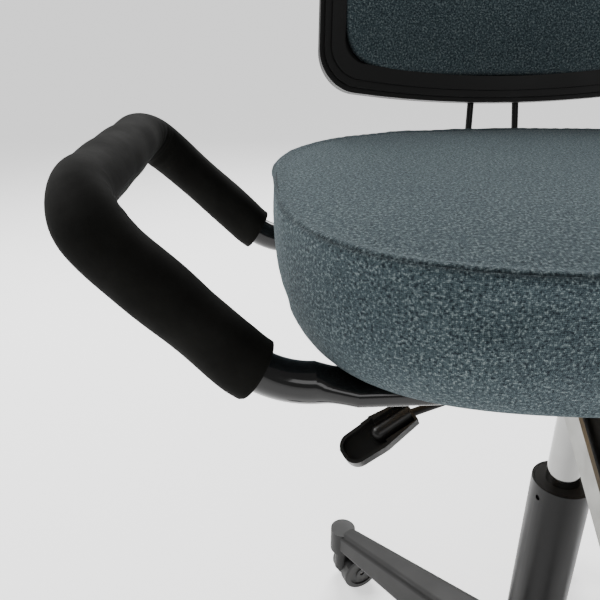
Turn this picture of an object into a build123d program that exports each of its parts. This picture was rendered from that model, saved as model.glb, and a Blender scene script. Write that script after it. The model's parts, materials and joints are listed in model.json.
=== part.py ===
"""Dentist stool: five-star base on casters, gas lift, tilting upholstered seat with two foam-covered
hoop arms, a paddle height lever, a tilt tension unit and a backrest on two thin rods.

Millimetres. Origin: column axis at the floor. +Z up, the sitter faces -Y, +X is the sitter's left.
"""
from build123d import *
import os
from math import cos, radians, sin, tan, pi

os.makedirs("parts", exist_ok=True)

# ---- driving dimensions -------------------------------------------------------------------------
RIM_Z = 350.0               # top of the column's outer tube
SEAT_Z = 520.0              # underside of the seat board
FIT = 0.05                  # radial running clearance of a shaft in its hole

# star base and casters
CASTER_COUNT = 5
CASTER_RADIUS = 265.0       # column axis to caster stem
FIRST_LEG = -90.0           # direction of the front leg, degrees
CASTER_HEADINGS = (200.0, 75.0, 150.0, 20.0, 265.0)   # each caster's own swivel direction
HUB_RADIUS = 36.0
HUB_TAPER = 2.0             # degrees
HUB_BOTTOM = 72.0
HUB_TOP = 150.0
LEG_ROOT = (12.0, 112.0)    # distance from the column axis, height of the section's centre
LEG_ROOT_SIZE = (46.0, 62.0)
LEG_ROOT_CORNER = 9.0
LEG_TIP_Z = 80.0
LEG_TIP_SIZE = (25.0, 29.0)
LEG_TIP_CORNER = 7.0
HOLLOW_ROOT = (42.0, 96.0)  # the legs are open channels below
HOLLOW_ROOT_SIZE = (31.0, 56.0)
HOLLOW_TIP = (241.0, 74.0)
HOLLOW_TIP_SIZE = (15.0, 30.0)
SOCKET_RADIUS = 16.0
SOCKET_BOTTOM = 63.0
SOCKET_TOP = 96.0
STEM_RADIUS = 5.5
WHEEL_RADIUS = 25.0
WHEEL_WIDTH = 17.0
WHEEL_GAP = 4.6             # half the space between the twin wheels
TRAIL = 21.0                # stem axis to axle
AXLE_RADIUS = 3.0
HOOD_TOP = 59.5
HOOD_POST_RADIUS = 9.5
HOOD_POST_BOTTOM = 30.0
HOOD_SIDE_GAP = 0.6         # between the hood's web and each wheel
GUARD_INNER = 1.5           # the hood's guard, measured out from the tread
GUARD_OUTER = 4.0
GUARD_START = 15.0          # degrees round the axle from level
GUARD_SWEEP = 125.0
STEM_BOTTOM = 45.5
STEM_TOP = 87.0
COLLAR_RADIUS = 9.0
COLLAR_BOTTOM = 60.0
HUBCAP_OUTER = 18.0
HUBCAP_INNER = 8.0
HUBCAP_DEPTH = 3.0
TREAD_ROUND = 2.5

# gas lift column
TUBE_RADIUS = 25.0
TUBE_WALL = 2.0
TUBE_BOTTOM = 76.0
BUSH_LENGTH = 75.0
RIM_ROUND = 0.8
PIN_HOLE_RADIUS = 2.4
PIN_HOLE_DROP = 12.0
PIN_HOLE_FACING = (-1.0, -0.35, 0.0)
CLIP = (9.0, 80.0, 82.5)            # outer radius, bottom, top
END_WASHER_Z = (84.0, 88.0)
RACE_RADIUS = 13.0
LOWER_RACE_Z = (88.0, 90.5)
UPPER_RACE_Z = (94.5, 97.0)
BALL_RADIUS = 1.95
BALL_CIRCLE = 9.5
BALL_COUNT = 12
ROD_COLLAR = (8.0, 97.0, 102.0)
BUMP_STOP = (11.0, 102.0, 114.0)
PRESSURE_RADIUS = 14.0
PRESSURE_WALL = 1.5
PRESSURE_BOTTOM = 240.0
PRESSURE_TOP = 456.0
PISTON_ROD_RADIUS = 5.0
PISTON_ROD_BOTTOM = 78.0
PISTON_BOTTOM = 324.0
PISTON_TOP = 340.0
SEAL_TOP = 254.0
VALVE_BODY_LENGTH = 12.0
BUTTON_RADIUS = 4.0
BUTTON_LENGTH = 14.0
BUTTON_TOP = 466.0

# mechanism under the seat
WALL_X = 28.5               # outer face of the housing's side walls
SHEET = 3.0
HOUSING_PROFILE = (         # (Y, Z)
    (95, 456), (95, 488), (78, 506), (-30, 506), (-52, 490), (-52, 450), (-40, 446), (-24, 456), (95, 456),
)
HOUSING_NOSE_CUT = ((-24, 470), (-70, 470), (-70, 430), (-24, 430), (-24, 470))
HOUSING_FLOOR_Z = 459.0
BOSS_RADIUS = 21.0
BOSS_BOTTOM = 428.0
BOSS_TOP = 456.0
VALVE_HOLE_RADIUS = 9.0
LEVER_SLOT_WIDTH = 16.0
LEVER_SLOT_BOTTOM = 463.0
TILT_PIN_Y = 45.0
TILT_PIN_Z = 492.0
TILT_PIN_RADIUS = 5.0
TILT_PIN_HALF = 33.4
TILT_PIN_HEAD = 7.5
PLATE_BOTTOM = SEAT_Z - SHEET
PLATE_SIZE = (150.0, 205.0)
PLATE_CENTRE_Y = 47.5
LUG_RADIUS = 11.0
SCREW_RADIUS = 3.0
SCREW_HEAD_RADIUS = 5.0
SCREW_HEAD = 5.0
SCREW_SOCKET = 2.6
SCREW_REACH = 9.0           # thread inside the seat board

# height lever, in the vertical plane through the column axis
LEVER_HEADING = 194.0       # direction of the lever seen from above, degrees
LEVER_PIVOT = (17.0, 471.0)         # distance from the column axis, height
LEVER_JOINT = (154.0, 448.0)        # where the rod enters the handle
LEVER_PIN_RADIUS = 2.0
LEVER_ROD_RADIUS = 3.0
LEVER_ROD_START = (26.0, 470.0)
LEVER_ROD_BEND = 20.0
LEVER_ROD_DEPTH = 27.0
CLEVIS_HALF = 8.0
CLEVIS_SLOT_HALF = 5.9
CAM_HALF = 5.0
CAM_PROFILE = (                     # (distance out, height)
    (-2, 466.3), (2, 466.3), (8, 467.5), (40, 464.5), (40, 471.5), (20, 475.5), (-2, 475.5), (-2, 466.3),
)
HANDLE_SLOPE = 28.5                 # the handle dips below the horizontal, degrees
HANDLE_LENGTH = 59.0
HANDLE_WIDTH = 26.0
HANDLE_DEPTH = 13.0
HANDLE_WALL = 2.4
HANDLE_ROLL = 28.0                  # the tray's hollow is turned forward by this much, degrees
HANDLE_TIP_ROUND = 10.0
HANDLE_EDGE = 2.2
HANDLE_HOLLOW = 27.0                # the deep hollow runs from here to the tip's wall
HANDLE_STEPS = ((29.0, 2.2), (36.0, 3.8))   # where the rear wall steps down, and how far below the rim
HANDLE_SOCKET = 6.2
HANDLE_SOCKET_LENGTH = 28.0

# tilt tension unit: its axis slopes down and forward
TENSION_SLOPE = 36.0
TENSION_START_Z = 479.0     # height of the axis where it crosses the column's centre plane
STRAP_WIDTH = 20.0
STRAP_FIRST = 28.0          # distances along the sloping axis
STRAP_LAST = 150.0
CUP_FIRST = 46.0
CUP_LAST = 118.0
CUP_RADIUS = 24.0
CUP_WALL = 2.0
CUP_RISE = 2.0              # the cup's axis sits above the bolt's
SPRING_PITCH = 9.0
SPRING_LENGTH = 56.0
SPRING_RADIUS = 14.0
SPRING_WIRE = 2.0
BOLT_RADIUS = 4.0
NUT_RADIUS = 7.5
NUT_HEIGHT = 6.0
RIVET_DISTANCES = (38.0, 49.0)
RIVET_RADIUS = 3.6
RIVET_HEIGHT = 1.6
KNOB_RADIUS = 20.0
KNOB_LAST = 178.0

# seat
SEAT_HALF_WIDTH = 247.0
SEAT_HALF_DEPTH = 212.0
SEAT_CENTRE_Y = 34.0
SEAT_SQUARENESS = 3.0       # 2 would be an ellipse
SEAT_NARROWING = 0.05       # the rear is a little narrower
BOARD_THICKNESS = 12.0
BOARD_INSET = 32.0
OUTLINE_POINTS = 36
CROWN_Z = 617.0
CROWN_ROUND = 16.0
LOWER_ROUND = 8.0

# arms
ARM_CENTRE_Y = 30.0
ARM_HALF_SPACING = 131.5
ARM_BAR_X = 353.0
ARM_BAR_Z = 621.5
ARM_ROOT_Z = 517.0
ARM_SLOPE = 45.1
ARM_CORNER = 40.0
ARM_ROOT_BEND = 60.0
ARM_TUBE_RADIUS = 12.7
ARM_TUBE_WALL = 2.0
ARM_FOAM_RADIUS = 19.0
ARM_FOAM_END = (257.8, 525.8)       # centre of the sleeve's cut end (X, Z)
ARM_FOAM_END_SLOPE = 33.0           # direction of the tube there, degrees above level
TAB_START_X = 223.5
TAB_FLAT_X = 200.0
TAB_END_X = 108.0
TAB_WIDTH = 34.0
TAB_THICKNESS = 13.0
TAB_CORNER = 6.0
TAB_SCREW_X = (125.0, 168.0)

# backrest
BACK_LEAN = 11.0
BACK_ORIGIN = (0.0, 276.0, 628.8)   # lower edge of the shell on the rods' plane
BACK_HALF_WIDTH = 193.0
BACK_HEIGHT = 215.0
BACK_WRAP = 600.0
BACK_CORNER = 40.0
BACK_RIM = 26.0
ROD_RADIUS = 3.5
ROD_ROOT_X = 30.0
ROD_TOP_X = 20.6
ROD_TOP_Z = 722.0
ROD_BEND = 18.0
HINGE_Y = 214.0
HINGE_Z = 501.0
HINGE_BOLT_RADIUS = 4.0
EAR_X = 40.0                # inner face of the bracket's ears
EAR_RADIUS = 12.0
CLAMP_HALF = 39.5
CLAMP_RADIUS = 11.0
BACK_KNOB_X = 43.6
BACK_KNOB_RADIUS = 15.0
BACK_KNOB_LENGTH = 22.0


def save(piece, label):
    """Label a finished piece and write it as its own STEP file."""
    piece.part.label = label
    export_step(piece.part, f"parts/{label}.step")


def ring(outer, inner, bottom, top):
    """A plain upright ring about the column axis."""
    with BuildPart() as body:
        with BuildSketch(Plane.XY.offset(bottom)):
            Circle(outer)
            Circle(inner, mode=Mode.SUBTRACT)
        extrude(amount=top - bottom)
    return body


# ---- star base and casters ----------------------------------------------------------------------
leg_angles = [FIRST_LEG + 360.0 / CASTER_COUNT * leg for leg in range(CASTER_COUNT)]
caster_centres = [
    (CASTER_RADIUS * cos(radians(angle)), CASTER_RADIUS * sin(radians(angle))) for angle in leg_angles
]


def leg_plane(angle, distance, height):
    """A plane across a leg: its x axis is level, its y axis is up."""
    outward = Vector(cos(radians(angle)), sin(radians(angle)), 0)
    level = Vector(-sin(radians(angle)), cos(radians(angle)), 0)
    return Plane(origin=outward * distance + Vector(0, 0, height), x_dir=level, z_dir=outward)


with BuildPart() as star_base:
    with BuildSketch(Plane.XY.offset(HUB_BOTTOM)):
        Circle(HUB_RADIUS)
    extrude(amount=HUB_TOP - HUB_BOTTOM, taper=HUB_TAPER)
    for angle in leg_angles:
        with BuildSketch(leg_plane(angle, *LEG_ROOT)):
            RectangleRounded(*LEG_ROOT_SIZE, LEG_ROOT_CORNER)
        with BuildSketch(leg_plane(angle, CASTER_RADIUS, LEG_TIP_Z)):
            RectangleRounded(*LEG_TIP_SIZE, LEG_TIP_CORNER)
        loft()
    with BuildSketch(Plane.XY.offset(SOCKET_BOTTOM)):
        with Locations(*caster_centres):
            Circle(SOCKET_RADIUS)
    extrude(amount=SOCKET_TOP - SOCKET_BOTTOM)
    for angle in leg_angles:
        with BuildSketch(leg_plane(angle, *HOLLOW_ROOT)):
            Rectangle(*HOLLOW_ROOT_SIZE)
        with BuildSketch(leg_plane(angle, *HOLLOW_TIP)):
            Rectangle(*HOLLOW_TIP_SIZE)
        loft(mode=Mode.SUBTRACT)
    with BuildSketch(Plane.XY.offset(HUB_BOTTOM)):
        Circle(TUBE_RADIUS)
    extrude(amount=HUB_TOP - HUB_BOTTOM + 5.0, mode=Mode.SUBTRACT)
    with BuildSketch(Plane.XY.offset(SOCKET_BOTTOM)):
        with Locations(*caster_centres):
            Circle(STEM_RADIUS)
    extrude(amount=STEM_TOP - SOCKET_BOTTOM, mode=Mode.SUBTRACT)
save(star_base, "star_base")

with BuildPart() as caster_stems:
    with Locations(*[(x, y, STEM_BOTTOM) for x, y in caster_centres]):
        Cylinder(STEM_RADIUS, STEM_TOP - STEM_BOTTOM, align=(Align.CENTER, Align.CENTER, Align.MIN))
    with Locations(*[(x, y, COLLAR_BOTTOM) for x, y in caster_centres]):
        Cylinder(COLLAR_RADIUS, SOCKET_BOTTOM - COLLAR_BOTTOM, align=(Align.CENTER, Align.CENTER, Align.MIN))
save(caster_stems, "caster_stems")

for number, (centre, heading) in enumerate(zip(caster_centres, CASTER_HEADINGS), start=1):
    trail = Vector(cos(radians(heading)), sin(radians(heading)), 0)
    across = Vector(sin(radians(heading)), -cos(radians(heading)), 0)
    side_plane = Plane(origin=Vector(*centre, 0), x_dir=trail, z_dir=across)
    hub = (TRAIL, WHEEL_RADIUS)

    with BuildPart() as caster_hood:
        with BuildSketch(side_plane):
            with Locations(hub):
                Circle(WHEEL_RADIUS - GUARD_OUTER)
            with Locations((0, HOOD_TOP - 14.0)):
                Rectangle(18.0, 28.0)
        extrude(amount=WHEEL_GAP - HOOD_SIDE_GAP, both=True)
        with BuildSketch(side_plane):
            with BuildLine():
                outer = CenterArc(hub, WHEEL_RADIUS + GUARD_OUTER, GUARD_START, GUARD_SWEEP)
                inner = CenterArc(hub, WHEEL_RADIUS + GUARD_INNER, GUARD_START, GUARD_SWEEP)
                Line(inner @ 0, outer @ 0)
                Line(inner @ 1, outer @ 1)
            make_face()
        extrude(amount=WHEEL_GAP + WHEEL_WIDTH, both=True)
        with BuildSketch(Plane(origin=Vector(*centre, HOOD_POST_BOTTOM))):
            Circle(HOOD_POST_RADIUS)
        extrude(amount=HOOD_TOP - HOOD_POST_BOTTOM)
        with BuildSketch(side_plane.offset(WHEEL_GAP)):
            with Locations(hub):
                Circle(WHEEL_RADIUS + 1.0)
        extrude(amount=WHEEL_WIDTH + 5.0, mode=Mode.SUBTRACT)
        with BuildSketch(side_plane.offset(-WHEEL_GAP)):
            with Locations(hub):
                Circle(WHEEL_RADIUS + 1.0)
        extrude(amount=-WHEEL_WIDTH - 5.0, mode=Mode.SUBTRACT)
        with BuildSketch(Plane(origin=Vector(*centre, STEM_BOTTOM - 0.1))):
            Circle(STEM_RADIUS + FIT)
        extrude(amount=40.0, mode=Mode.SUBTRACT)
        with BuildSketch(side_plane):
            with Locations(hub):
                Circle(AXLE_RADIUS + FIT)
        extrude(amount=60.0, both=True, mode=Mode.SUBTRACT)
    save(caster_hood, f"caster_hood_{number}")

    with BuildPart() as caster_axle:
        with BuildSketch(side_plane):
            with Locations(hub):
                Circle(AXLE_RADIUS)
        extrude(amount=WHEEL_GAP + WHEEL_WIDTH - 3.0, both=True)
    save(caster_axle, f"caster_axle_{number}")

    with BuildPart() as caster_wheels:
        for side in (-1, 1):
            wheel_plane = side_plane.offset(side * WHEEL_GAP)
            with BuildSketch(wheel_plane):
                with Locations(hub):
                    Circle(WHEEL_RADIUS)
                    Circle(AXLE_RADIUS, mode=Mode.SUBTRACT)
            extrude(amount=side * (WHEEL_WIDTH - 1.0))
        fillet(caster_wheels.edges().filter_by(GeomType.CIRCLE).filter_by(
            lambda edge: edge.radius == WHEEL_RADIUS), radius=TREAD_ROUND)
        for side in (-1, 1):
            with BuildSketch(side_plane.offset(side * (WHEEL_GAP + WHEEL_WIDTH - HUBCAP_DEPTH))):
                with Locations(hub):
                    Circle(HUBCAP_OUTER)
                    Circle(HUBCAP_INNER, mode=Mode.SUBTRACT)
            extrude(amount=side * 5.0, mode=Mode.SUBTRACT)
    save(caster_wheels, f"caster_wheels_{number}")

# ---- gas lift -----------------------------------------------------------------------------------
with BuildPart() as outer_tube:
    with BuildSketch(Plane.XY.offset(TUBE_BOTTOM)):
        Circle(TUBE_RADIUS)
        Circle(TUBE_RADIUS - TUBE_WALL, mode=Mode.SUBTRACT)
    extrude(amount=RIM_Z - TUBE_BOTTOM)
    fillet(outer_tube.edges().group_by(Axis.Z)[-1].sort_by(SortBy.RADIUS)[-1], radius=RIM_ROUND)
    pin_plane = Plane(origin=(0, 0, RIM_Z - PIN_HOLE_DROP), z_dir=Vector(*PIN_HOLE_FACING).normalized())
    with BuildSketch(pin_plane):
        Circle(PIN_HOLE_RADIUS)
    extrude(amount=TUBE_RADIUS + 5.0, mode=Mode.SUBTRACT)
save(outer_tube, "outer_tube")

with BuildPart() as guide_bush:
    with BuildSketch(Plane.XY.offset(RIM_Z - BUSH_LENGTH)):
        Circle(TUBE_RADIUS - TUBE_WALL)
        Circle(PRESSURE_RADIUS + FIT, mode=Mode.SUBTRACT)
    extrude(amount=BUSH_LENGTH)
    chamfer(guide_bush.edges().group_by(Axis.Z)[-1].sort_by(SortBy.RADIUS)[-1], length=0.5)
save(guide_bush, "guide_bush")

save(ring(TUBE_RADIUS - TUBE_WALL, PISTON_ROD_RADIUS + 2 * FIT, *END_WASHER_Z), "tube_end_washer")
save(ring(RACE_RADIUS, PISTON_ROD_RADIUS + 1.0, *LOWER_RACE_Z), "bearing_race_lower")
save(ring(RACE_RADIUS, PISTON_ROD_RADIUS, *UPPER_RACE_Z), "bearing_race_upper")
save(ring(CLIP[0], PISTON_ROD_RADIUS, *CLIP[1:]), "retaining_clip")
save(ring(BUMP_STOP[0], PISTON_ROD_RADIUS, *BUMP_STOP[1:]), "bump_stop")

with BuildPart() as bearing_balls:
    with Locations((0, 0, (LOWER_RACE_Z[1] + UPPER_RACE_Z[0]) / 2)):
        with PolarLocations(BALL_CIRCLE, BALL_COUNT):
            Sphere(BALL_RADIUS)
save(bearing_balls, "bearing_balls")

with BuildPart() as piston_rod:
    with BuildSketch(Plane.XY.offset(PISTON_ROD_BOTTOM)):
        Circle(PISTON_ROD_RADIUS)
    extrude(amount=PISTON_BOTTOM - PISTON_ROD_BOTTOM)
    with BuildSketch(Plane.XY.offset(ROD_COLLAR[1])):
        Circle(ROD_COLLAR[0])
    extrude(amount=ROD_COLLAR[2] - ROD_COLLAR[1])
    with BuildSketch(Plane.XY.offset(PISTON_BOTTOM)):
        Circle(PRESSURE_RADIUS - PRESSURE_WALL - FIT)
    extrude(amount=PISTON_TOP - PISTON_BOTTOM)
save(piston_rod, "piston_rod")

with BuildPart() as pressure_tube:
    with BuildSketch(Plane.XY.offset(PRESSURE_BOTTOM)):
        Circle(PRESSURE_RADIUS)
        Circle(PRESSURE_RADIUS - PRESSURE_WALL, mode=Mode.SUBTRACT)
    extrude(amount=PRESSURE_TOP - PRESSURE_BOTTOM)
    with BuildSketch(Plane.XY.offset(PRESSURE_TOP - VALVE_BODY_LENGTH)):
        Circle(PRESSURE_RADIUS - PRESSURE_WALL)
        Circle(BUTTON_RADIUS + FIT, mode=Mode.SUBTRACT)
    extrude(amount=VALVE_BODY_LENGTH)
save(pressure_tube, "pressure_tube")

save(ring(PRESSURE_RADIUS - PRESSURE_WALL, PISTON_ROD_RADIUS + FIT, PRESSURE_BOTTOM, SEAL_TOP), "rod_seal")

with BuildPart() as valve_button:
    with BuildSketch(Plane.XY.offset(BUTTON_TOP - BUTTON_LENGTH)):
        Circle(BUTTON_RADIUS)
    extrude(amount=BUTTON_LENGTH)
    chamfer(valve_button.edges().group_by(Axis.Z)[-1], length=0.6)
save(valve_button, "valve_button")

# ---- mechanism housing --------------------------------------------------------------------------
lever_wall_y = -WALL_X * tan(radians(LEVER_HEADING - 180.0))
with BuildPart() as mechanism_housing:
    with BuildSketch(Plane.YZ.offset(-WALL_X)):
        with BuildLine():
            Polyline(*HOUSING_PROFILE)
        make_face()
    extrude(amount=2 * WALL_X)
    with BuildSketch(Plane.YZ.offset(-WALL_X + SHEET)):
        with Locations((0, HOUSING_FLOOR_Z)):
            Rectangle(240.0, 100.0, align=(Align.CENTER, Align.MIN))
        with BuildLine():
            Polyline(*HOUSING_NOSE_CUT)
        make_face()
    extrude(amount=2 * (WALL_X - SHEET), mode=Mode.SUBTRACT)
    with BuildSketch(Plane.XY.offset(BOSS_BOTTOM)):
        Circle(BOSS_RADIUS)
    extrude(amount=BOSS_TOP - BOSS_BOTTOM)
    with BuildSketch(Plane.XY.offset(BOSS_BOTTOM)):
        Circle(PRESSURE_RADIUS)
    extrude(amount=BOSS_TOP - BOSS_BOTTOM, mode=Mode.SUBTRACT)
    with BuildSketch(Plane.XY.offset(BOSS_TOP - 1.0)):
        Circle(VALVE_HOLE_RADIUS)
    extrude(amount=SHEET + 3.0, mode=Mode.SUBTRACT)
    with BuildSketch(Plane.YZ.offset(-WALL_X - 1.0)):
        with Locations((lever_wall_y, LEVER_SLOT_BOTTOM)):
            Rectangle(LEVER_SLOT_WIDTH, 60.0, align=(Align.CENTER, Align.MIN))
    extrude(amount=SHEET + 2.0, mode=Mode.SUBTRACT)
    with BuildSketch(Plane.YZ.offset(-WALL_X - 1.0)):
        with Locations((TILT_PIN_Y, TILT_PIN_Z)):
            Circle(TILT_PIN_RADIUS)
    extrude(amount=2 * WALL_X + 2.0, mode=Mode.SUBTRACT)
save(mechanism_housing, "mechanism_housing")

with BuildPart() as tilt_pin:
    with BuildSketch(Plane.YZ.offset(-TILT_PIN_HALF)):
        with Locations((TILT_PIN_Y, TILT_PIN_Z)):
            Circle(TILT_PIN_RADIUS)
    extrude(amount=2 * TILT_PIN_HALF)
    for side in (-1, 1):
        with BuildSketch(Plane.YZ.offset(side * TILT_PIN_HALF)):
            with Locations((TILT_PIN_Y, TILT_PIN_Z)):
                Circle(TILT_PIN_HEAD)
        extrude(amount=side * SHEET)
save(tilt_pin, "tilt_pin")

# ---- height lever -------------------------------------------------------------------------------
lever_out = Vector(cos(radians(LEVER_HEADING)), sin(radians(LEVER_HEADING)), 0)
lever_across = Vector(sin(radians(LEVER_HEADING)), -cos(radians(LEVER_HEADING)), 0)
lever_plane = Plane(origin=(0, 0, 0), x_dir=lever_out, z_dir=lever_across)
handle_drop = radians(HANDLE_SLOPE)
handle_out = lever_out * cos(handle_drop) + Vector(0, 0, -sin(handle_drop))


def on_lever(distance, height):
    """A point in the lever's plane, from its distance out and its height."""
    return lever_out * distance + Vector(0, 0, height)


with BuildPart() as lever_clevis:
    with BuildSketch(lever_plane):
        with Locations((LEVER_PIVOT[0] + 1.0, 461.0)):
            Rectangle(11.0, 4.0)
    extrude(amount=CLEVIS_HALF, both=True)
    with BuildSketch(lever_plane):
        with Locations((LEVER_PIVOT[0] + 1.0, 467.5)):
            Rectangle(9.0, 17.0)
    extrude(amount=CLEVIS_HALF, both=True)
    with BuildSketch(lever_plane):
        with Locations((LEVER_PIVOT[0] + 1.0, 471.5)):
            Rectangle(30.0, 17.0)
    extrude(amount=CLEVIS_SLOT_HALF, both=True, mode=Mode.SUBTRACT)
    with BuildSketch(lever_plane):
        with Locations(LEVER_PIVOT):
            Circle(LEVER_PIN_RADIUS)
    extrude(amount=CLEVIS_HALF + 2.0, both=True, mode=Mode.SUBTRACT)
save(lever_clevis, "lever_clevis")

with BuildPart() as lever_pin:
    with BuildSketch(lever_plane):
        with Locations(LEVER_PIVOT):
            Circle(LEVER_PIN_RADIUS)
    extrude(amount=CLEVIS_HALF + 1.0, both=True)
save(lever_pin, "lever_pin")

with BuildPart() as lever_cam:
    with BuildSketch(lever_plane):
        with BuildLine():
            Polyline(*CAM_PROFILE)
        make_face()
        with Locations(LEVER_PIVOT):
            Circle(LEVER_PIN_RADIUS + FIT, mode=Mode.SUBTRACT)
    extrude(amount=CAM_HALF, both=True)
    rod_direction = on_lever(*LEVER_JOINT) - on_lever(*LEVER_ROD_START)
    with BuildSketch(Plane(origin=on_lever(*LEVER_ROD_START), z_dir=rod_direction)):
        Circle(LEVER_ROD_RADIUS)
    extrude(amount=30.0, mode=Mode.SUBTRACT)
save(lever_cam, "lever_cam")

with BuildPart() as lever_rod:
    with BuildLine() as rod_path:
        FilletPolyline(
            on_lever(*LEVER_ROD_START),
            on_lever(*LEVER_JOINT),
            on_lever(*LEVER_JOINT) + handle_out * LEVER_ROD_DEPTH,
            radius=LEVER_ROD_BEND,
        )
    with BuildSketch(Plane(origin=rod_path.line @ 0, z_dir=rod_path.line % 0)):
        Circle(LEVER_ROD_RADIUS)
    sweep()
save(lever_rod, "lever_rod")

# The handle is an open tray: its hollow faces up and a little forward. Its inboard half is filled by the
# rod's socket, and its rear wall steps down beside the deep outer hollow.
handle_start = on_lever(*LEVER_JOINT) + handle_out * -3.0
handle_upright = Vector(0, 0, 1) - handle_out * handle_out.Z
tray_up = handle_upright.normalized() * cos(radians(HANDLE_ROLL)) - lever_across * sin(radians(HANDLE_ROLL))
handle_plane = Plane(origin=handle_start, x_dir=handle_out, z_dir=tray_up)
tray_floor = handle_plane.offset(-HANDLE_DEPTH / 2)
half = HANDLE_WIDTH / 2

with BuildPart() as lever_handle:
    with BuildSketch(tray_floor):
        with BuildLine():
            FilletPolyline(
                (0, -half + 4), (HANDLE_LENGTH * 0.5, -half), (HANDLE_LENGTH, -half + 1),
                (HANDLE_LENGTH, half - 1), (HANDLE_LENGTH * 0.5, half), (0, half - 4),
                radius=HANDLE_TIP_ROUND,
            )
            Line((0, half - 4), (0, -half + 4))
        make_face()
    extrude(amount=HANDLE_DEPTH)
    fillet(lever_handle.faces().sort_by(Axis(handle_plane.origin, handle_plane.z_dir))[0].edges(), radius=HANDLE_EDGE)
    with BuildSketch(tray_floor.offset(HANDLE_WALL)):
        with BuildLine():
            FilletPolyline(
                (HANDLE_HOLLOW, -half + 2.6), (HANDLE_LENGTH - HANDLE_WALL, -half + 3.4),
                (HANDLE_LENGTH - HANDLE_WALL, half - 3.4), (HANDLE_HOLLOW, half - 2.6),
                radius=HANDLE_TIP_ROUND - HANDLE_WALL,
            )
            Line((HANDLE_HOLLOW, half - 2.6), (HANDLE_HOLLOW, -half + 2.6))
        make_face()
    extrude(amount=HANDLE_DEPTH, mode=Mode.SUBTRACT)
    with BuildSketch(handle_plane):
        with Locations((HANDLE_HOLLOW / 2 + 2.0, 0)):
            Rectangle(HANDLE_HOLLOW, HANDLE_WIDTH - 2 * HANDLE_WALL - 4.0)
    extrude(amount=HANDLE_DEPTH, mode=Mode.SUBTRACT)
    for start, drop in HANDLE_STEPS:
        with BuildSketch(handle_plane.offset(HANDLE_DEPTH / 2 - drop)):
            with Locations((start, -4.0)):
                Rectangle(HANDLE_LENGTH, HANDLE_WIDTH, align=(Align.MIN, Align.MAX))
        extrude(amount=HANDLE_DEPTH, mode=Mode.SUBTRACT)
    with BuildSketch(Plane(origin=handle_start, z_dir=handle_out)):
        Circle(HANDLE_SOCKET)
    extrude(amount=HANDLE_SOCKET_LENGTH)
    with Locations(handle_start + handle_out * HANDLE_SOCKET_LENGTH):
        Sphere(HANDLE_SOCKET)
    with BuildSketch(Plane(origin=handle_start - handle_out * 5, z_dir=handle_out)):
        Circle(LEVER_ROD_RADIUS)
    extrude(amount=LEVER_ROD_DEPTH + 8.0, mode=Mode.SUBTRACT)
save(lever_handle, "lever_handle")

# ---- tilt tension unit --------------------------------------------------------------------------
slope = radians(TENSION_SLOPE)
tension_out = Vector(0, -cos(slope), -sin(slope))
tension_up = Vector(0, -sin(slope), cos(slope))


def on_tension(distance, height=0.0, x=0.0):
    """A point of the sloping unit: distance along its axis, height square to it."""
    return Vector(x, 0, TENSION_START_Z) + tension_out * distance + tension_up * height


def tension_plane(distance, height=0.0):
    """A plane square to the unit's axis, facing down and forward."""
    return Plane(origin=on_tension(distance, height), x_dir=(1, 0, 0), z_dir=tension_out)


strap_side = Plane(origin=on_tension(0, 0, -WALL_X - SHEET), x_dir=tension_out, z_dir=(-1, 0, 0))
with BuildPart() as tension_bracket:
    with BuildSketch(strap_side):
        with Locations(((STRAP_FIRST + STRAP_LAST) / 2, 0)):
            Rectangle(STRAP_LAST - STRAP_FIRST, STRAP_WIDTH)
    extrude(amount=-2 * (WALL_X + SHEET))
    with BuildSketch(strap_side.offset(-SHEET)):
        with Locations(((STRAP_FIRST + STRAP_LAST) / 2 - SHEET, 0)):
            Rectangle(STRAP_LAST - STRAP_FIRST, STRAP_WIDTH + 4.0)
    extrude(amount=-2 * WALL_X, mode=Mode.SUBTRACT)
    fillet(tension_bracket.edges().filter_by(Axis.X).group_by(Axis.Y)[-1], radius=6.0)
    with BuildSketch(tension_plane(STRAP_LAST - 10.0)):
        Circle(BOLT_RADIUS + FIT)
    extrude(amount=20.0, mode=Mode.SUBTRACT)
save(tension_bracket, "tension_bracket")

with BuildPart() as bracket_rivets:
    for side in (-1, 1):
        for distance in RIVET_DISTANCES:
            with BuildSketch(Plane(origin=on_tension(distance, 0, side * (WALL_X + SHEET)), z_dir=(side, 0, 0))):
                Circle(RIVET_RADIUS)
            extrude(amount=RIVET_HEIGHT)
save(bracket_rivets, "bracket_rivets")

with BuildPart() as spring_cup:
    with BuildSketch(tension_plane(CUP_FIRST, CUP_RISE)):
        Circle(CUP_RADIUS)
    extrude(amount=CUP_LAST - CUP_FIRST)
    fillet(spring_cup.edges().sort_by(Axis.Z)[0], radius=3.0)
    with BuildSketch(tension_plane(CUP_FIRST, CUP_RISE)):
        Circle(CUP_RADIUS - CUP_WALL)
    extrude(amount=CUP_LAST - CUP_FIRST - 3.0, mode=Mode.SUBTRACT)
    with BuildSketch(tension_plane(CUP_FIRST)):
        Circle(BOLT_RADIUS + FIT)
    extrude(amount=CUP_LAST, mode=Mode.SUBTRACT)
save(spring_cup, "spring_cup")

with BuildPart() as tension_spring:
    with BuildLine() as spring_line:
        Helix(
            pitch=SPRING_PITCH,
            height=SPRING_LENGTH,
            radius=SPRING_RADIUS,
            center=on_tension(CUP_FIRST + 7.5),
            direction=tension_out,
        )
    with BuildSketch(Plane(origin=spring_line.line @ 0, z_dir=spring_line.line % 0)):
        Circle(SPRING_WIRE)
    sweep(is_frenet=True)
save(tension_spring, "tension_spring")

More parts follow.
